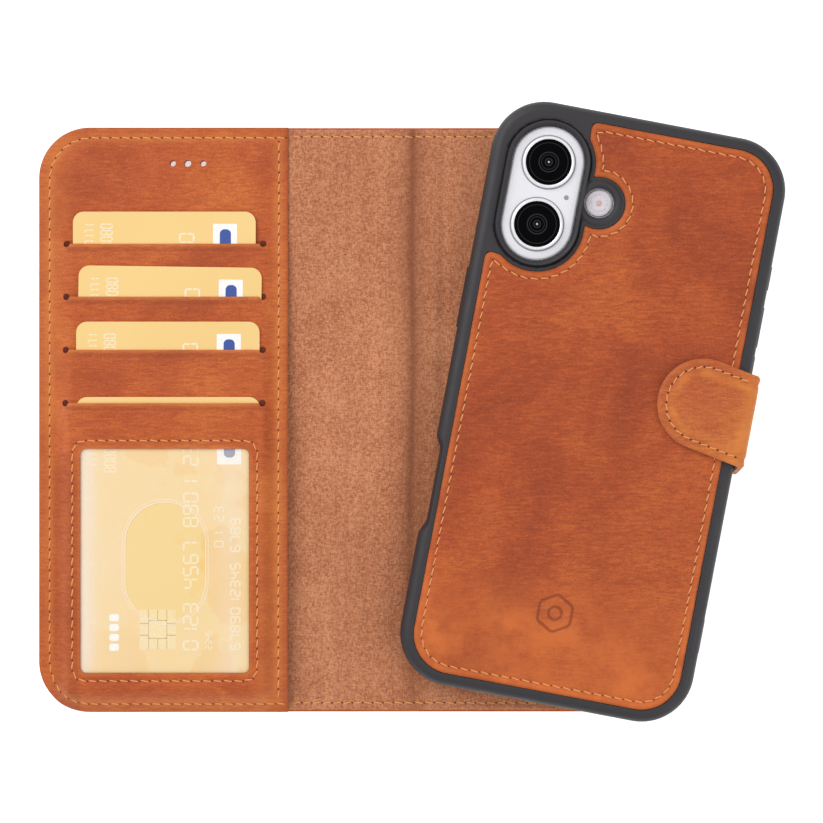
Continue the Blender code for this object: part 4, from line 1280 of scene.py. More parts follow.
def slot_end_shadows():
    """Painted shade: dark discs in the round ends of the slits, where their insides lie in shadow."""
    for k, slot in enumerate(SLOT_Y):
        for side, x in (("left", SLOT_LEFT_X), ("right", SLOT_RIGHT_X)):
            level = float(panel_height(np.array([(x, slot)]), np.array([k]))[0]) - PANEL_THICK
            outline = circle((x, slot), SLIT_END - 0.02 * MM)
            inner = prisms("slot_%d_end_%s" % (k + 1, side), [outline],
                           level - 0.12 * MM, level + 0.04 * MM, SLOT_SHADE, Matrix())
            ride(inner, "front_cover", "leather")


def panel_paler(points):
    """Where the panel is made paler: beside the slots and right of the window."""
    x, y = points[:, 0], points[:, 1]
    beside = bell(x - LEFT_X - 5 * MM, 4 * MM) * smooth((y + 8 * MM) / (16 * MM))
    window = bell(x - WINDOW[1] - 5 * MM, 3.5 * MM) * smooth((WINDOW[3] - y) / (12 * MM))
    return 0.3 * beside + 0.4 * window


def panel_darker_and_crease_shade(points, gap):
    """Where the panel is darker: its rim and a band left of the window; and painted shade in a crease under each slot.
    """
    x, y = points[:, 0], points[:, 1]
    left = smooth((x - LEFT_X - 3.4 * MM) / (2 * MM)) * smooth((WINDOW[0] - x) / (1 * MM))
    dark = 0.2 * left * smooth((WINDOW[3] - y) / (8 * MM)) + 0.3 * bell(gap, 0.35 * MM)
    # Painted shade in the crease under each slot.
    for slot in SLOT_Y:
        under = bell(slot - 1.6 * MM - y, 0.4 * MM)
        dark = dark + 0.45 * under * ((x > SLOT_LEFT_X) & (x < SLOT_RIGHT_X))
    return np.clip(dark, 0, 0.8)


def slot_gap(points):
    """Distance to the nearest slot's edge, a little worn like the panel's edge."""
    best = np.full(len(points), 1.0)
    for slot in SLOT_Y:
        path = [(SLOT_LEFT_X, slot), (SLOT_RIGHT_X, slot)]
        best = np.minimum(best, distance_to(points, path, False) + RIM_REACH)
    return np.minimum(best, distance_to(points, WINDOW_OPENING) + RIM_REACH)


def pocket_backing():
    """The pouch's back: flat under the cards, and up to meet the panel at its open edge."""
    outline = rounded(LEFT_X + 0.4 * MM, PANEL_RIGHT_X - 0.3 * MM, 0.4 * MM - HALF_HEIGHT,
                      HALF_HEIGHT - 0.4 * MM, COVER_CORNER, 0, 0, COVER_CORNER)

    def top(points, gap):
        level = panel_level(points, strip_of(points[:, 1])) - PANEL_THICK - 0.25 * MM
        meet = smooth((points[:, 0] - CARD_RIGHT_X) / (SEAM_RIGHT_X - CARD_RIGHT_X))
        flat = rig.box("pocket_backing")[1].z
        return flat + (np.maximum(level, flat) - flat) * meet

    made = skin("pocket_back_sheet", outline, top, lambda p, g: top(p, g) - 0.25 * MM, SUEDE,
                speaker_loops(), 1.1 * MM)
    ride(made, "front_cover", "lining", "pocket_backing")


def panel_stitching():
    """The three rows of stitches on the panel."""
    level = lambda points: panel_height(points, strip_of(points[:, 1])) + STITCH_LIFT
    edge, side = panel_seams()
    for name, path, closed, node in (("panel_edge_stitches", edge, False, "front_edge_thread"),
                                     ("panel_side_stitches", side, False, "pocket_side_thread"),
                                     ("window_stitches", WINDOW_SEAM_PATH, True,
                                      "window_thread")):
        ride(seam(name, path, level, closed), "front_cover", "thread", node)


THUMB_RADIUS, THUMB_HALF = 11.7 * MM, 5.75 * MM
THUMB_Y = -41.75 * MM


def window_sheet():
    """The clear film, with its thumb opening and its reflections."""
    low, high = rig.box("window_film")
    centre = ((low.x + high.x) / 2 + 0.15 * MM, THUMB_Y)
    hole = stadium(centre, THUMB_RADIUS, THUMB_HALF)
    made = skin("window_sheet", rounded(low.x, high.x, low.y, high.y),
                flat_at(high.z), flat_at(low.z), FILM, [hole], 0.8 * MM,
                rings=(0.12 * MM, 0.26 * MM, 0.4 * MM, 0.6 * MM, 0.8 * MM, 0.95 * MM, 1.1 * MM,
                       1.3 * MM))
    flat = flat_points(made)
    rim = distance_to(flat, hole)
    across = flat[:, 0] - WINDOW[0]
    sheen = 0.4 * bell(across - 1.0 * MM, 3.2 * MM) + 0.14 * bell(across - 44 * MM, 4 * MM)
    sheen *= 0.75 + 0.5 * ripple(flat, 16 * MM, 21.0)
    sheen += 0.36 * bell(rim - 0.1 * MM, 0.16 * MM) + 0.2 * bell(rim - 0.95 * MM, 0.14 * MM)
    set_attribute(made, "sheen", sheen)
    ride(made, "front_cover", "clear_film", "window_film")


# ------------------------------------------------------------------ phone case
CUT_RADIUS = 13.8 * MM
CUT_BELOW = 19.6 * MM
CUT_STEP = 3.3 * MM
LOBE_CUT = 7.7 * MM
SEAM_IN = 2.2 * MM
SEAM_RINGS = (0.12 * MM, 0.3 * MM, 0.6 * MM, 1.0 * MM, 1.5 * MM, 1.9 * MM, 2.2 * MM, 2.5 * MM,
              2.9 * MM)


def soften(points, reach, spacing=0.3 * MM):
    """Rounds the corners of a closed outline by averaging it over a short reach."""
    path = flat_array(resample(points, spacing))
    steps = max(1, int(round(reach / spacing)))
    total = sum(np.roll(path, k, axis=0) for k in range(-steps, steps + 1))
    return [tuple(p) for p in total / (2 * steps + 1)]


def camera_side(cut, lobe, low_v, stop_u, high_v):
    """The edge round the camera and the flash, from the left side to the top edge."""
    u, v = CAMERA
    fall = low_v - (v - LENS_SPREAD)
    start = math.degrees(math.atan2(fall, -math.sqrt(cut ** 2 - fall ** 2)))
    side_u = u + cut
    half = math.sqrt(lobe ** 2 - (side_u - FLASH.x) ** 2)
    lean = math.degrees(math.atan2(half, side_u - FLASH.x))
    path = arc((u, v - LENS_SPREAD), cut, start, 0)
    path += arc(FLASH, lobe, -lean, lean)
    turn = math.degrees(math.acos((stop_u - u) / cut))
    path += arc((u, v + LENS_SPREAD), cut, 0, turn)
    return path + [(stop_u, high_v)]


def far_corners(u, v, radius):
    """The three corners of the leather panel away from the camera, clockwise."""
    return (arc((u, v), radius, 90, 0) + arc((u, -v), radius, 0, -90)
            + arc((-u, -v), radius, -90, -180))


def leather_outline(grow=0.0):
    """The case's leather panel, with the camera corner left out."""
    half_u, half_v = LEATHER_HALF[0] + grow, LEATHER_HALF[1] + grow
    radius = LEATHER_CORNER + grow
    low_v = CAMERA.y - CUT_BELOW + grow
    side = camera_side(CUT_RADIUS - grow, LOBE_CUT - grow, low_v,
                       CAMERA.x + CUT_RADIUS - CUT_STEP - grow, half_v)
    path = [(-half_u, low_v)] + side + far_corners(half_u - radius, half_v - radius, radius)
    path = resample(list(reversed(path)), 0.3 * MM)
    crisp, round_off = (np.array(soften(path, reach)) for reach in (0.5 * MM, 2.1 * MM))
    tips = np.array([(-half_u, low_v), (CAMERA.x + CUT_RADIUS - CUT_STEP, half_v)])
    away = np.min([np.hypot(*(crisp - tip).T) for tip in tips], axis=0)
    near = smooth((6 * MM - away) / (3 * MM))[:, None]
    return [tuple(p) for p in crisp + (round_off - crisp) * near]


def leather_seam():
    """The seam inside the leather's edge; it turns sharply at the two tips."""
    half_u, half_v = LEATHER_HALF[0] - SEAM_IN, LEATHER_HALF[1] - SEAM_IN
    radius = LEATHER_CORNER - SEAM_IN
    low_v = CAMERA.y - CUT_BELOW - SEAM_IN
    side = camera_side(CUT_RADIUS + SEAM_IN, LOBE_CUT + SEAM_IN, low_v,
                       CAMERA.x + CUT_RADIUS - CUT_STEP + 0.75 * SEAM_IN, half_v)
    path = [(-half_u, low_v)] + side + far_corners(half_u - radius, half_v - radius, radius)
    return list(reversed(path))


EMBLEM = (0.0, -59.9 * MM)
EMBLEM_SIZE = 5.6 * MM


def emblem_depth(points):
    """A pressed mark: a rounded hexagon with a ring in it."""
    middle = np.array(EMBLEM)
    corners = [(EMBLEM[0] + EMBLEM_SIZE * math.cos(math.radians(a)),
                EMBLEM[1] + EMBLEM_SIZE * math.sin(math.radians(a))) for a in range(30, 390, 60)]
    hexagon = soften(corners, 0.9 * MM)
    away = distance_to(points, hexagon)
    ring = np.abs(np.hypot(*(points - middle).T) - 1.9 * MM)
    return 1 - smooth((np.minimum(away, ring) - 0.22 * MM) / (0.3 * MM))


def case_leather():
    """The leather let into the bumper's back, with its seam and the pressed mark."""
    outline = leather_outline()
    stitched = leather_seam()

    def top(points, gap):
        z = CASE_LEATHER_TOP - 0.5 * MM * (1 - smooth(gap / (0.9 * MM))) ** 1.5
        z = z - 0.22 * MM * bell(distance_to(points, stitched), 0.6 * MM)
        z = z + 0.06 * MM * ripple(points, 16 * MM, 5.0)
        return z - 0.26 * MM * emblem_depth(points)

    def pale(points, gap):
        edge = 0.75 * (1 - smooth((gap - 0.8 * MM) / (1.6 * MM)))
        edge = edge * (0.75 + 0.4 * ripple(points, 8 * MM, 11.0))
        foot = 0.9 * smooth((-44 * MM - points[:, 1]) / (26 * MM))
        return np.clip(edge + foot * (0.8 + 0.5 * ripple(points, 14 * MM, 12.0)), 0, 1)

    reach = EMBLEM_SIZE + 1 * MM
    area = (EMBLEM[0] - reach, EMBLEM[0] + reach, EMBLEM[1] - reach, EMBLEM[1] + reach)
    made = skin("case_leather_back", outline, top,
                flat_at(DECK_FLOOR), CASE_LEATHER, (), 1 * MM, CASE,
                (area, 0.16 * MM), SEAM_RINGS, worn=pale)
    flat = np.array([(CASE.inverted() @ v.co).xy for v in made.data.vertices])
    # The pressed mark is made darker than the leather round it.
    set_attribute(made, "pressed", 0.55 * emblem_depth(flat))
    ride(made, "case", "leather", "case_back_leather")
    level = lambda points: top(points, np.full(len(points), 9 * MM)) + STITCH_LIFT
    stitches = seam("case_stitches", stitched, level, True, CASE, hole=0.22 * MM)
    ride(stitches, "case", "thread", "case_thread")


RIM_INSET = 3.25 * MM
WALL_TURN = 2.9 * MM
WALL_INNER = 3.6 * MM
PHONE_SIDE = 4.4 * MM
SCREEN_LIP = (6.15 * MM, 1.1 * MM)
LEDGE = 1.9 * MM
RECESS_DEPTH, RECESS_TOP, RECESS_BOTTOM = 1.75 * MM, -15 * MM, -45 * MM
RIDGE_HEIGHT, RIDGE_TOP, RIDGE_BOTTOM, RIDGE_END = 0.4 * MM, -53.6 * MM, -63.8 * MM, 0.7 * MM
RIDGE_LEVEL = 8.7 * MM
PORT_HALF = (6.5 * MM, 2 * MM)
GRILLE_HALF, GRILLE_AWAY = (5 * MM, 0.8 * MM), 18 * MM
END_CUT = (-90 * MM, -78 * MM)
SIDE_CUT = (39.5 * MM, 46 * MM)
PAD_ROOM = 0.25 * MM
PAD_HALF = {"side_button_pad": 8.85 * MM, "action_button_pad": 3.45 * MM,
            "volume_up_pad": 5.9 * MM, "volume_down_pad": 5.9 * MM}


def wall_profile(height):
    """The wall's section, as insets from the outside and heights above the bottom."""
    lip_inset, lip_top = SCREEN_LIP
    profile = [(lip_inset, lip_top), (lip_inset, 0.3 * MM), (lip_inset - 0.35 * MM, 0),
               (3.0 * MM, 0)]
    for t in np.radians(np.linspace(0, 90, 8)):
        profile.append((WALL_TURN * (1 - math.sin(t)), WALL_TURN * (1 - math.cos(t))))
    for t in np.radians(np.linspace(0, 90, 10)):
        profile.append((WALL_TURN * (1 - math.cos(t)), height - WALL_TURN * (1 - math.sin(t))))
    return profile + [(RIM_INSET, height), (3.42 * MM, height - 0.03 * MM),
                      (WALL_INNER, height - 0.2 * MM), (WALL_INNER, height - LEDGE),
                      (PHONE_SIDE, height - LEDGE), (PHONE_SIDE, lip_top)]


def case_wall():
    """The bumper's wall: one profile carried round the case, with the recess in its left
    side and the raised touch control low on its right side."""
    bottom = CASE_BOTTOM
    rings = []
    for inset, z in wall_profile(RIM_TOP - bottom):
        radius = CASE_CORNER - inset
        path = []
        for cu, cv, start in ((1, 1, 0), (-1, 1, 90), (-1, -1, 180), (1, -1, 270)):
            centre = (cu * (CASE_HALF[0] - CASE_CORNER), cv * (CASE_HALF[1] - CASE_CORNER))
            angles = np.radians(np.linspace(start, start + 90, 25))
            path += [(centre[0] + radius * math.cos(a), centre[1] + radius * math.sin(a))
                     for a in angles]
            if start in (90, 270):
                run = np.linspace(cv, -cv, 160)[1:-1] * (CASE_HALF[1] - CASE_CORNER)
                path += [(cu * (CASE_HALF[0] - inset), v) for v in run]
        path = np.array(path)
        u, v = path[:, 0], path[:, 1]
        share = smooth(1 - inset / (3.2 * MM))
        recess = smooth((RECESS_TOP - v) / (4.2 * MM)) * smooth((v - RECESS_BOTTOM) / (5.1 * MM))
        u = np.where(u < 0, u + RECESS_DEPTH * share * recess, u)
        ridge = smooth((RIDGE_TOP - v) / RIDGE_END) * smooth((v - RIDGE_BOTTOM) / RIDGE_END)
        middle = float(bell(z + bottom - RIDGE_LEVEL, 2.6 * MM))
        u = np.where(u > 0, u + RIDGE_HEIGHT * ridge * share * middle, u)
        rings.append([(a, b, z + bottom) for a, b in zip(u, v)])
    made = loft("bumper_wall", rings, TPU, CASE)
    middle = (bottom + 1.2 * MM + PHONE_TOP) / 2
    sideways = CASE @ Matrix(((1, 0, 0, 0), (0, 0, 1, 0), (0, 1, 0, 0), (0, 0, 0, 1)))
    openings = []
    for u, (half_u, half_z), radius in ((0, PORT_HALF, 1.9 * MM),
                                        (-GRILLE_AWAY, GRILLE_HALF, 0.75 * MM),
                                        (GRILLE_AWAY, GRILLE_HALF, 0.75 * MM)):
        outline = even(u - half_u, u + half_u, middle - half_z, middle + half_z, radius)
        openings.append((outline, *END_CUT))
    cut(made, openings, sideways)
    upright = CASE @ Matrix(((0, 0, 1, 0), (1, 0, 0, 0), (0, 1, 0, 0), (0, 0, 0, 1)))
    windows = []
    for node, half in PAD_HALF.items():
        low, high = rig.box(node)
        at = case_local(node)
        reach = half + PAD_ROOM
        outline = even(at.y - reach, at.y + reach, low.z - PAD_ROOM, high.z + PAD_ROOM, 1.2 * MM)
        windows.append((outline, *sorted(math.copysign(end, at.x) for end in SIDE_CUT)))
    cut(made, windows, upright)
    ride(made, "case", "bumper", "case_shell")


def lens_distance(points):
    """Distance to the line between the two lenses."""
    u, v = CAMERA
    past = np.clip(points[:, 1], v - LENS_SPREAD, v + LENS_SPREAD)
    return np.hypot(points[:, 0] - u, points[:, 1] - past)


HOLE_RADIUS = 10.8 * MM
LIP_EDGE, LIP_STEP, LIP_GROOVE = 12.35 * MM, 11.4 * MM, 12.4 * MM
FLASH_HOLE, FLASH_LIP, FLASH_STEP = 4.4 * MM, 6.9 * MM, 5.1 * MM
LIP_LINES = (11.35 * MM, 12.0 * MM, 12.25 * MM, LIP_GROOVE, 12.6 * MM)


def case_deck():
    """The bumper's back: the floor of the leather, and the camera corner with its lips."""
    grown = leather_outline(0.2 * MM)
    inner = offset(grown, -0.06 * MM)
    half_u, half_v = CASE_HALF[0] - RIM_INSET, CASE_HALF[1] - RIM_INSET
    outline = even(-half_u, half_u, -half_v, half_v, CASE_CORNER - RIM_INSET)
    holes = [stadium(CAMERA, HOLE_RADIUS, LENS_SPREAD), circle(FLASH, FLASH_HOLE)]
    floor = DECK_FLOOR - 0.06 * MM
    u, v = CAMERA
    lines = [grown, inner] + [stadium(CAMERA, radius, LENS_SPREAD) for radius in LIP_LINES]

    def top(points, gap):
        ring = lens_distance(points)
        lobe = np.hypot(points[:, 0] - FLASH.x, points[:, 1] - FLASH.y)
        lip = smooth((LIP_EDGE - ring) / (0.35 * MM)) * (LIP_TOP - RIM_TOP)
        lip = lip - 0.7 * MM * smooth((LIP_STEP - ring) / (0.5 * MM))
        groove = 0.5 * MM * bell(ring - LIP_GROOVE, 0.16 * MM)
        small = smooth((FLASH_LIP - lobe) / (0.8 * MM)) * 0.55 * MM
        small = small - 0.5 * MM * smooth((FLASH_STEP - lobe) / (0.6 * MM))
        z = RIM_TOP + np.maximum(lip, small) - groove * (lobe > 7 * MM)
        return np.where(inside(points, inner), floor, z)

    made = skin("bumper_deck", outline, top,
                flat_at(PHONE_TOP + 0.04 * MM), TPU, holes, 1.2 * MM, CASE,
                ((u - 14 * MM, FLASH.x + 8 * MM, v - 24 * MM, v + 24 * MM), 0.35 * MM),
                rings=(0.15 * MM, 0.35 * MM, 0.6 * MM), lines=lines)
    ride(made, "case", "bumper")


def camera():
    """The display phone's camera: island, lenses, microphone and flash."""
    top = ISLAND_TOP
    made = skin("camera_plate", stadium(CAMERA, 10.4 * MM, LENS_SPREAD),
                lambda p, g: top - 0.35 * MM * (1 - smooth(g / (0.5 * MM)))
                - 0.06 * MM * bell(g - 0.85 * MM, 0.15 * MM),
                flat_at(PHONE_TOP + 0.05 * MM), PHONE_BACK, (), 0.7 * MM, CASE,
                rings=(0.15 * MM, 0.35 * MM, 0.55 * MM, 0.85 * MM, 1.1 * MM))
    ride(made, "case", "phone_body", "camera_island")
    for i, lens in enumerate(LENSES, 1):
        gutter = turned("lens_gutter_%d" % i, [(8.0, -0.1), (8.0, 0.02), (7.6, 0.02),
                                               (7.6, -0.1)], lens, RING_SHADE, top)
        ride(gutter, "case", "lens_ring")
        bezel = turned("lens_bezel_%d" % i, [(7.6, -0.1), (7.6, 0.75), (7.5, 1.0), (7.35, 1.12),
                                             (7.0, 1.12), (6.75, 1.0), (6.7, 0.7), (6.7, -0.1)],
                       lens, RING, top)
        ride(bezel, "case", "lens_ring", "lens_ring_%d" % i)
        glass = turned("lens_glass_dome_%d" % i,
                       [(0.01, 0.92), (2.5, 0.91), (4.5, 0.88), (6.2, 0.8), (6.68, 0.7),
                        (6.68, -0.1)], lens, LENS_GLASS, top, True)
        ride(glass, "case", "dark_glass", "lens_glass_%d" % i)
        for n, (radius, width) in enumerate(((5.7, 0.16), (3.0, 0.3), (2.2, 0.15), (1.15, 0.3))):
            ring = turned("lens_mark_%d_%d" % (i, n), [
                (radius, 0.86), (radius, 0.96), (radius - width, 0.96), (radius - width, 0.86)],
                lens, LENS_GREY, top)
            ride(ring, "case", "dark_glass")
        glint = turned("lens_glint_%d" % i, [(0.01, 0.97), (0.3, 0.97), (0.3, 0.85)], lens,
                       GLINT, top, True)
        ride(glint, "case", "dark_glass")
    mic = (CAMERA.x + 7 * MM, CAMERA.y)
    ride(turned("microphone", [(0.01, 0.03), (0.7, 0.03), (0.75, -0.05)], mic, RING_SHADE, top,
                True), "case", "phone_body")
    low = PHONE_TOP
    ride(turned("flash_window", [(0.01, 0.75), (2.3, 0.75), (2.35, 0.6), (2.6, 0.6), (2.7, 0.85),
                                 (3.5, 0.85), (3.8, 0.7), (3.88, 0.05)], FLASH, FLASH_LOOK, low,
                True), "case", "flash", "flash_lens")
    ride(turned("flash_core", [(0.01, 0.82), (0.85, 0.8), (0.95, 0.7)], FLASH, FLASH_CORE, low,
                True), "case", "flash")


def pads():
    """Button pads: the CAD pieces with rounded edges."""
    for node in PAD_HALF:
        round_edges(node, 0.35 * MM, 3)


# ------------------------------------------------------------------ closure tab
TAB_INNER_U = 44.15 * MM
TAB_LOW = LINING_TOP
TAB_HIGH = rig.box("tab_flap_lining")[0].z
TAB_RISE = TAB_HIGH - TAB_LOW
TAB_BEND = 1 * MM
TAB_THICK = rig.box("tab_flap_leather")[1].z - TAB_HIGH
TAB_SPLIT = 0.98 * MM
TAB_HALF_WIDTH = 13.3 * MM
TAB_FLAP = 26.8 * MM
TAB_FOLD_V = (CASE.inverted() @ Vector(JOINTS["tab_lower_fold"]["pos_m"])).y
TAB_ALONG = np.array([math.cos(CASE_TILT), math.sin(CASE_TILT)])
TAB_ACROSS = np.array([-math.sin(CASE_TILT), math.cos(CASE_TILT)])
TAB_SECOND = TAB_RISE / math.cos(CASE_TILT)
TAB_SEAM = 2.4 * MM


def strap_flat(points):
    """Strap coordinates, along and across, from points of the unfolded sheet."""
    away = points - np.array([TAB_INNER_U, TAB_FOLD_V])
    return away @ TAB_ALONG, away @ TAB_ACROSS


def strap_sheet(points):
    """Points of the unfolded sheet from strap coordinates."""
    return [tuple(np.array([TAB_INNER_U, TAB_FOLD_V]) + s * TAB_ALONG + w * TAB_ACROSS)
            for s, w in points]


def folded(vertices):
    """Folds the unfolded strap up the side of the case and over its back."""
    p, q, n = vertices.T
    r = TAB_BEND
    u, z = p.copy(), TAB_LOW - n
    turn = np.clip((p - TAB_INNER_U + r) / (2 * r), 0, 1) * math.pi / 2
    low = p > TAB_INNER_U - r
    u = np.where(low, TAB_INNER_U - r + (r + n) * np.sin(turn), u)
    z = np.where(low, TAB_LOW + r - (r + n) * np.cos(turn), z)
    up = p > TAB_INNER_U + r
    u = np.where(up, TAB_INNER_U + n, u)
    z = np.where(up, TAB_LOW + p - TAB_INNER_U, z)
    second = TAB_INNER_U + TAB_RISE
    turn = np.clip((p - second + r) / (2 * r), 0, 1) * math.pi / 2
    high = p > second - r
    u = np.where(high, TAB_INNER_U - r + (r + n) * np.cos(turn), u)
    z = np.where(high, TAB_HIGH - r + (r + n) * np.sin(turn), z)
    over = p > second + r
    u = np.where(over, TAB_INNER_U - (p - second), u)
    z = np.where(over, TAB_HIGH + n, z)
    return np.stack([u, q, z], 1)


def strap_outline(inset=0.0, start=None):
    """The whole strap in strap coordinates: square at the folio, round at its tip."""
    half = TAB_HALF_WIDTH - inset
    tip = TAB_SECOND + TAB_FLAP - TAB_HALF_WIDTH
    start = STRAP_START if start is None else start
    return [(start, -half)] + arc((tip, 0), half, -90, 90) + [(start, half)]


STRAP_START = -(JOINTS["tab_lower_fold"]["pos_m"][0] - RIGHT_X) - 0.3 * MM


def strap_gap(points):
    outline = resample(strap_sheet(strap_outline(0, STRAP_START - 9 * MM)), 0.5 * MM)
    return distance_to(points, outline)


def flap_padding():
    """The flap's leather over its pad, as cloth pushed up from below and held at the seam."""
    outline = strap_sheet(strap_outline(TAB_SEAM + 0.5 * MM, TAB_SECOND + 0.5 * MM))

    def held(flat):
        return distance_to(flat, outline) < 0.5 * MM

    return settled(outline, 0.55 * MM, held, grow=0.012, pressure=1.5, frames=CLOTH_FRAMES,
                   seed=5.0)


def puff(points):
    """How far the padding lifts the leather inside the seam of the flap."""
    if PADDING:
        return cloth_height(PADDING, points, PADDING_LIFT)
    s, _ = strap_flat(points)
    inside_seam = np.minimum(strap_gap(points) - 3.2 * MM, 5 * MM)
    flap = smooth((s - TAB_SECOND - 1.5 * MM) / (3.5 * MM))
    rise = smooth(inside_seam / (2.4 * MM)) * flap
    return rise * (0.3 * MM + 0.05 * MM * ripple(points, 7 * MM, 9.0))


def strap_leather_height(points, gap):
    edge = strap_gap(points)
    z = TAB_THICK - 0.45 * MM * (1 - smooth(edge / (0.8 * MM))) ** 1.5
    z = z - 0.24 * MM * bell(edge - TAB_SEAM, 0.7 * MM) + puff(points)
    return z + 0.04 * MM * ripple(points, 6 * MM, 2.0)


# Paler leather on the tab: worn at its folds and rim, and a painted highlight inside the flap's seam.
def strap_wear_and_highlight(points, gap):
    edge = strap_gap(points)
    s, _ = strap_flat(points)
    folds = bell(s - TAB_SECOND, 2.6 * MM) + bell(s, 2.6 * MM)
    # Painted highlight: a paler band inside the seam, where the padded flap curves up.
    seam_highlight = bell(edge - 4.2 * MM, 1.2 * MM) * smooth((s - TAB_SECOND) / (4 * MM))
    patch = 0.5 + 1.0 * ripple(points, 6 * MM, 4.0)
    return np.clip(0.9 * folds + 1.3 * seam_highlight * patch + 0.2 * bell(edge, 1.0 * MM), 0, 1)


def strap():
    """The closure tab: two lengths that meet halfway up the case's side, and its seam."""
    middle = TAB_INNER_U + TAB_RISE / 2
    whole = strap_sheet(strap_outline())
    for part, bend_at, pair in (
            ("lower", TAB_INNER_U, ("back_cover", "tab_side")),
            ("upper", TAB_INNER_U + TAB_RISE, ("tab_side", "tab_flap"))):
        outline = clip(whole, middle, part == "lower")
        columns = np.arange(bend_at - 1.6 * MM, bend_at + 1.6 * MM, 0.2 * MM)
        outer = skin("tab_leather_" + part, outline, strap_leather_height, flat_at(TAB_SPLIT),
                     TAB_LEATHER, (), 0.6 * MM, CASE, rings=SEAM_RINGS, columns=columns,
                     fold=folded, worn=strap_wear_and_highlight)
        inner = skin("tab_lining_" + part, outline, flat_at(TAB_SPLIT - 0.02 * MM),
                     lambda p, g: 0.25 * MM * (1 - smooth(strap_gap(p) / (0.6 * MM))),
                     SUEDE, (), 0.9 * MM, CASE, columns=columns, fold=folded)
        for piece, slot in ((outer, "leather"), (inner, "lining")):
            fold_blend(piece, pair, bend_at)
            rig.slot(piece, slot)
        names = ["tab_base_%s", "tab_side_%s"] if part == "lower" else ["tab_flap_%s"]
        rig.replaces(outer, *[name % "leather" for name in names])
        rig.replaces(inner, *[name % "lining" for name in names])
    half = TAB_HALF_WIDTH - TAB_SEAM
    run = strap_outline(TAB_SEAM)
    ends = [((TAB_RISE + 1.3 * MM + w * math.sin(CASE_TILT)) / math.cos(CASE_TILT), w)
            for w in (-half, half)]
    path = strap_sheet([ends[0]] + run[1:-1] + [ends[1]])
    stitches = seam("tab_stitches", path,
                    lambda p: strap_leather_height(p, None) + STITCH_LIFT, False, CASE, folded,
                    pitch=2.75 * MM, hole=0.33 * MM)
    ride(stitches, "tab_flap", "thread", "tab_thread")


def clip(outline, at, keep_low):
    """The part of an outline on one side of a line across the unfolded sheet."""
    out = []
    for a, b in zip(outline, outline[1:] + outline[:1]):
        a_in, b_in = (a[0] <= at) == keep_low, (b[0] <= at) == keep_low
        if a_in:
            out.append(a)
        if a_in != b_in:
            t = (at - a[0]) / (b[0] - a[0])
            out.append((at, a[1] + t * (b[1] - a[1])))
    return out


def fold_blend(piece, pair, bend_at):
    """Bends the strap at one of its folds: from the flat before it to the flat after it."""
    low = bend_at == TAB_INNER_U
    r = TAB_BEND + 0.4 * MM
    if low:
        start = CASE @ Vector((TAB_INNER_U - r, TAB_FOLD_V, TAB_LOW))
        end = CASE @ Vector((TAB_INNER_U, TAB_FOLD_V, TAB_LOW + r))
    else:
        start = CASE @ Vector((TAB_INNER_U, TAB_FOLD_V, TAB_HIGH - r))
        end = CASE @ Vector((TAB_INNER_U - r, TAB_FOLD_V, TAB_HIGH))
    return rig.blend(piece, *pair, start, end)


# ------------------------------------------------------------------ card print
SEGMENTS = {"0": "abcdef", "1": "bc", "2": "abged", "3": "abgcd", "4": "fgbc", "5": "afgcd",
            "6": "afgedc", "7": "abc", "8": "abcdefg", "9": "abcdfg"}


def digit_strokes(digit, width, height):
    """The strokes of a seven-segment digit, in a box of the given size."""
    half = height / 2
    ends = {"a": ((0, height), (width, height)), "b": ((width, half), (width, height)),
            "c": ((width, 0), (width, half)), "d": ((0, 0), (width, 0)),
            "e": ((0, 0), (0, half)), "f": ((0, half), (0, height)),
            "g": ((0, half), (width, half))}
    return [ends[name] for name in SEGMENTS[digit]]


def stroke(a, b, thick):
    """A pointed bar along the line from a to b; bars that meet at a corner stay just apart."""
    a, b = Vector(a), Vector(b)
    along = (b - a).normalized() * thick / 2
    across = Vector((-along.y, along.x))
    return [tuple(p) for p in (a + along * 0.15, a + along * 1.15 - across,
                               b - along * 1.15 - across, b - along * 0.15,
                               b - along * 1.15 + across, a + along * 1.15 + across)]


def prisms(name, outlines, low, high, look, place):
    """Thin raised print: several flat outlines as one piece."""
    vertices, faces = prism_shells([(outline, low, high) for outline in outlines])
    return add_object(name, vertices, faces, look, place)


def upward(text, x, y, width, height, pitch, thick):
    """Digits that read upwards, with x at their foot and y where the row starts."""
    bars = []
    for i, character in enumerate(text):
        if character in SEGMENTS:
            for a, b in digit_strokes(character, width, height):
                bars.append(stroke((x - a[1], y + i * pitch + a[0]),
                                   (x - b[1], y + i * pitch + b[0]), thick))
    return bars


def round_edges(node, width, segments):
    """Rounds the edges of a CAD piece that stays."""
    bevel = frame["nodes"][node].modifiers.new("round", "BEVEL")
    bevel.width = width
    bevel.segments = segments
    bevel.limit_method = "ANGLE"


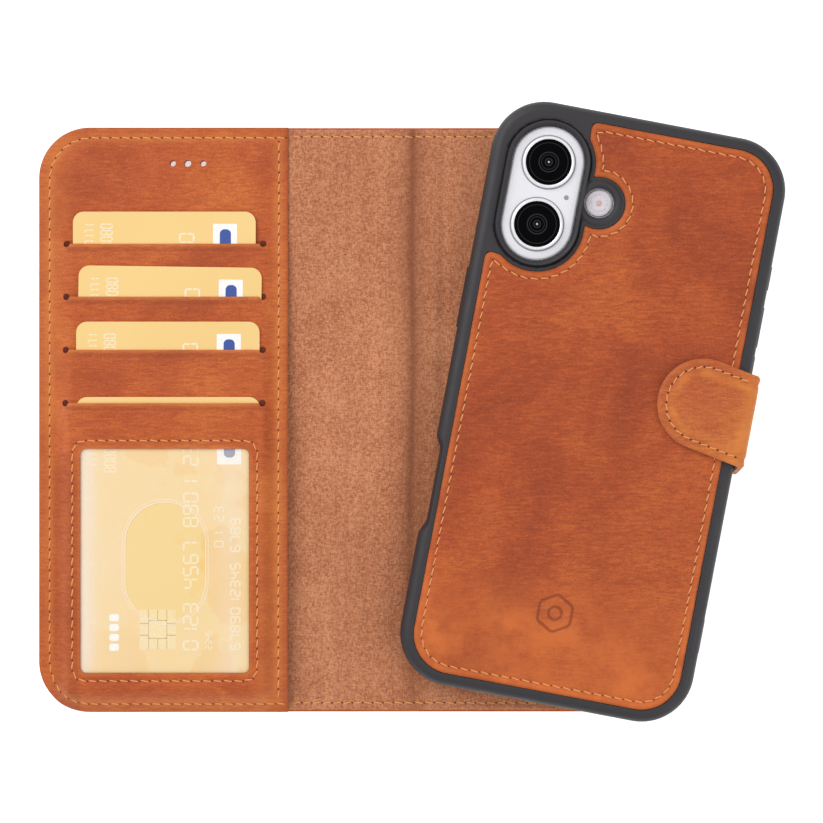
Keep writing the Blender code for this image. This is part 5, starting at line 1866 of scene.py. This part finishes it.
def card_print(k):
    """The print of one card, in the card's own axes; it moves with the card."""
    low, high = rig.box("card_%d" % k)
    slide = JOINTS["card_%d_slide" % k]["axis"]
    tilt = math.atan2(-slide[0], slide[1])
    centre = (low + high) / 2
    place = Matrix.Translation((centre.x, centre.y, high.z)) @ Matrix.Rotation(tilt, 4, "Z")
    round_edges("card_%d" % k, 0.12 * MM, 2)
    mm = lambda points: [(x * MM, y * MM) for x, y in points]
    number = upward("0123 4567 8901 2340", 8.7, -31.4, 2.45, 4.1, 3.62, 0.6)
    small = upward("2345", 12.8, -31.4, 1.1, 1.7, 1.45, 0.3)
    date = upward("01 23", 16.2, -1.2, 1.6, 2.6, 2.5, 0.42)
    name = upward("6789012345 6789", 21.1, -31.4, 1.7, 2.7, 2.62, 0.48)
    top_mark = upward("8080808080", -15.4, 20.8, 1.2, 3.3, 1.9, 0.42)
    top_line = upward("17171717171", -20.8, 22.0, 0.9, 2.6, 1.6, 0.36)
    pieces = (("embossed", number + date + name, 0.04, EMBOSS),
              ("fine_print", small + top_mark + top_line, 0.025, EMBOSS),
              ("grade_mark", [even(-17.3, -14.4, y, y + 2.1, 0.8)
                              for y in (-31.8, -28.9, -26.0, -23.1)], 0.025, WHITE_PRINT),
              ("corner_panel", [even(14.4, 21.5, 23.0, 39.2, 0.4)], 0.02, WHITE_PRINT),
              ("corner_mark", [even(16.4, 19.7, 25.0, 37.6, 1.4)], 0.035, BLUE_PRINT),
              ("chip_ground", [even(-8.3, 2.2, -31.3, -19.7, 1.2)], 0.015, CHIP_LINE))
    for name_of, outlines, thick, look in pieces:
        made = prisms("card_%d_%s" % (k, name_of), [mm(o) for o in outlines], -0.03 * MM,
                      thick * MM, look, place)
        ride(made, "card_%d" % k, "card")
    chip = prisms("card_%d_chip" % k, [mm(o) for o in chip_pads()], -0.02 * MM, 0.035 * MM,
                  CHIP_GOLD, place)
    ride(chip, "card_%d" % k, "card")


def chip_pads():
    """The chip's contacts: four at each end, one at each side and one in the middle."""
    x0, x1, y0, y1 = -8.45, 2.35, -31.55, -19.45
    gap = 0.17
    pads_made = []
    width = (x1 - x0) / 4
    for row in ((y0, y0 + 4.2), (y1 - 4.2, y1)):
        for i in range(4):
            inner = 0.9 if i in (1, 2) else 0.0
            a = x0 + i * width + gap / 2
            low = row[0] + (gap if row[0] == y0 else inner)
            high = row[1] - (inner if row[0] == y0 else gap)
            pads_made.append(rounded(a, a + width - gap, low, high))
    pads_made.append(even(x0 + width + gap / 2, x1 - width - gap / 2, y0 + 3.5, y1 - 3.5,
                             0.6))
    middle = (y0 + y1) / 2
    for low in (x0 + gap / 2, x1 - width + gap / 2):
        pads_made.append(rounded(low, low + width - gap, middle - 1.6, middle + 1.6))
    return pads_made


# ------------------------------------------------------------------ scene
def floor_and_light():
    """A pale floor just under the folio, and plain soft light."""
    bpy.ops.mesh.primitive_plane_add(size=4, location=(0, 0, -FLOOR_BELOW))
    floor = bpy.context.active_object
    floor.name = "floor"
    look = Look("white_floor")
    look.wire(look.ramp(look.noise(8, 2), (0, (0.93, 0.93, 0.93, 1)), (1, (0.95, 0.95, 0.95, 1))),
              "Base Color")
    look.set(Roughness=0.9, Emission_Color=(1, 1, 1, 1), Emission_Strength=0.6)
    floor.data.materials.append(look.made)
    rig.stage(floor)
    world = bpy.context.scene.world or bpy.data.worlds.new("studio")
    bpy.context.scene.world = world
    world.use_nodes = True
    background = world.node_tree.nodes["Background"]
    background.inputs["Color"].default_value = (1, 1, 1, 1)
    background.inputs["Strength"].default_value = WORLD_STRENGTH
    for name, place, size, power in LIGHTS:
        light = bpy.data.lights.new(name, "AREA")
        light.size = size
        light.energy = power
        lamp = bpy.data.objects.new(name, light)
        lamp.location = place
        lamp.rotation_euler = (-Vector(place)).to_track_quat("-Z", "Y").to_euler()
        bpy.context.scene.collection.objects.link(lamp)


FLOOR_BELOW = 0.05 * MM
WORLD_STRENGTH = 0.62
LIGHTS = (("key", (-0.7, 0.6, 0.9), 0.9, 9.0), ("fill", (0.8, -0.5, 0.9), 0.9, 4.0))
PHOTO_PLACE = (-39.86 * MM, 2.45 * MM, 750 * MM)
PHOTO_SENSOR, PHOTO_LENS = 36, 110.34


def photo_camera():
    """The photograph's view: from straight above, far away."""
    data = bpy.data.cameras.new("camera")
    data.sensor_width = PHOTO_SENSOR
    data.lens = PHOTO_LENS
    view = bpy.data.objects.new("camera", data)
    view.location = PHOTO_PLACE
    bpy.context.scene.collection.objects.link(view)
    bpy.context.scene.camera = view
    bpy.context.scene.view_settings.view_transform = "Standard"


def repaint_nodes():
    """The CAD nodes that stay: each slot gets its procedural material."""
    looks = {"leather": LEATHER, "lining": SUEDE, "thread": THREAD, "board": BOARD,
             "magnet": STEEL, "steel": STEEL, "card": PRINT, "bumper": TPU,
             "phone_body": PHONE_BACK, "dark_glass": BLACK_GLASS, "lens_ring": RING,
             "flash": PHONE_BACK, "clear_film": FILM}
    for entry in frame["record"]["subparts"]:
        node = frame["nodes"][entry["node"]]
        node.data.materials.clear()
        node.data.materials.append(looks[entry["material_slot"]])


SLACK = lining_slack()
PADDING = flap_padding()
repaint_nodes()
covers()
folio_seams()
pocket_backing()
pocket_panel()
panel_stitching()
window_sheet()
for number in (1, 2, 3, 4):
    card_print(number)
case_wall()
case_deck()
case_leather()
camera()
pads()
strap()
photo_camera()
floor_and_light()

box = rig.bounds()
sides = {"cad": [list(corner) for corner in CAD_BOX], "visual": [list(corner) for corner in box]}
with open("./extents.json", "w") as size_file:
    json.dump(sides, size_file)
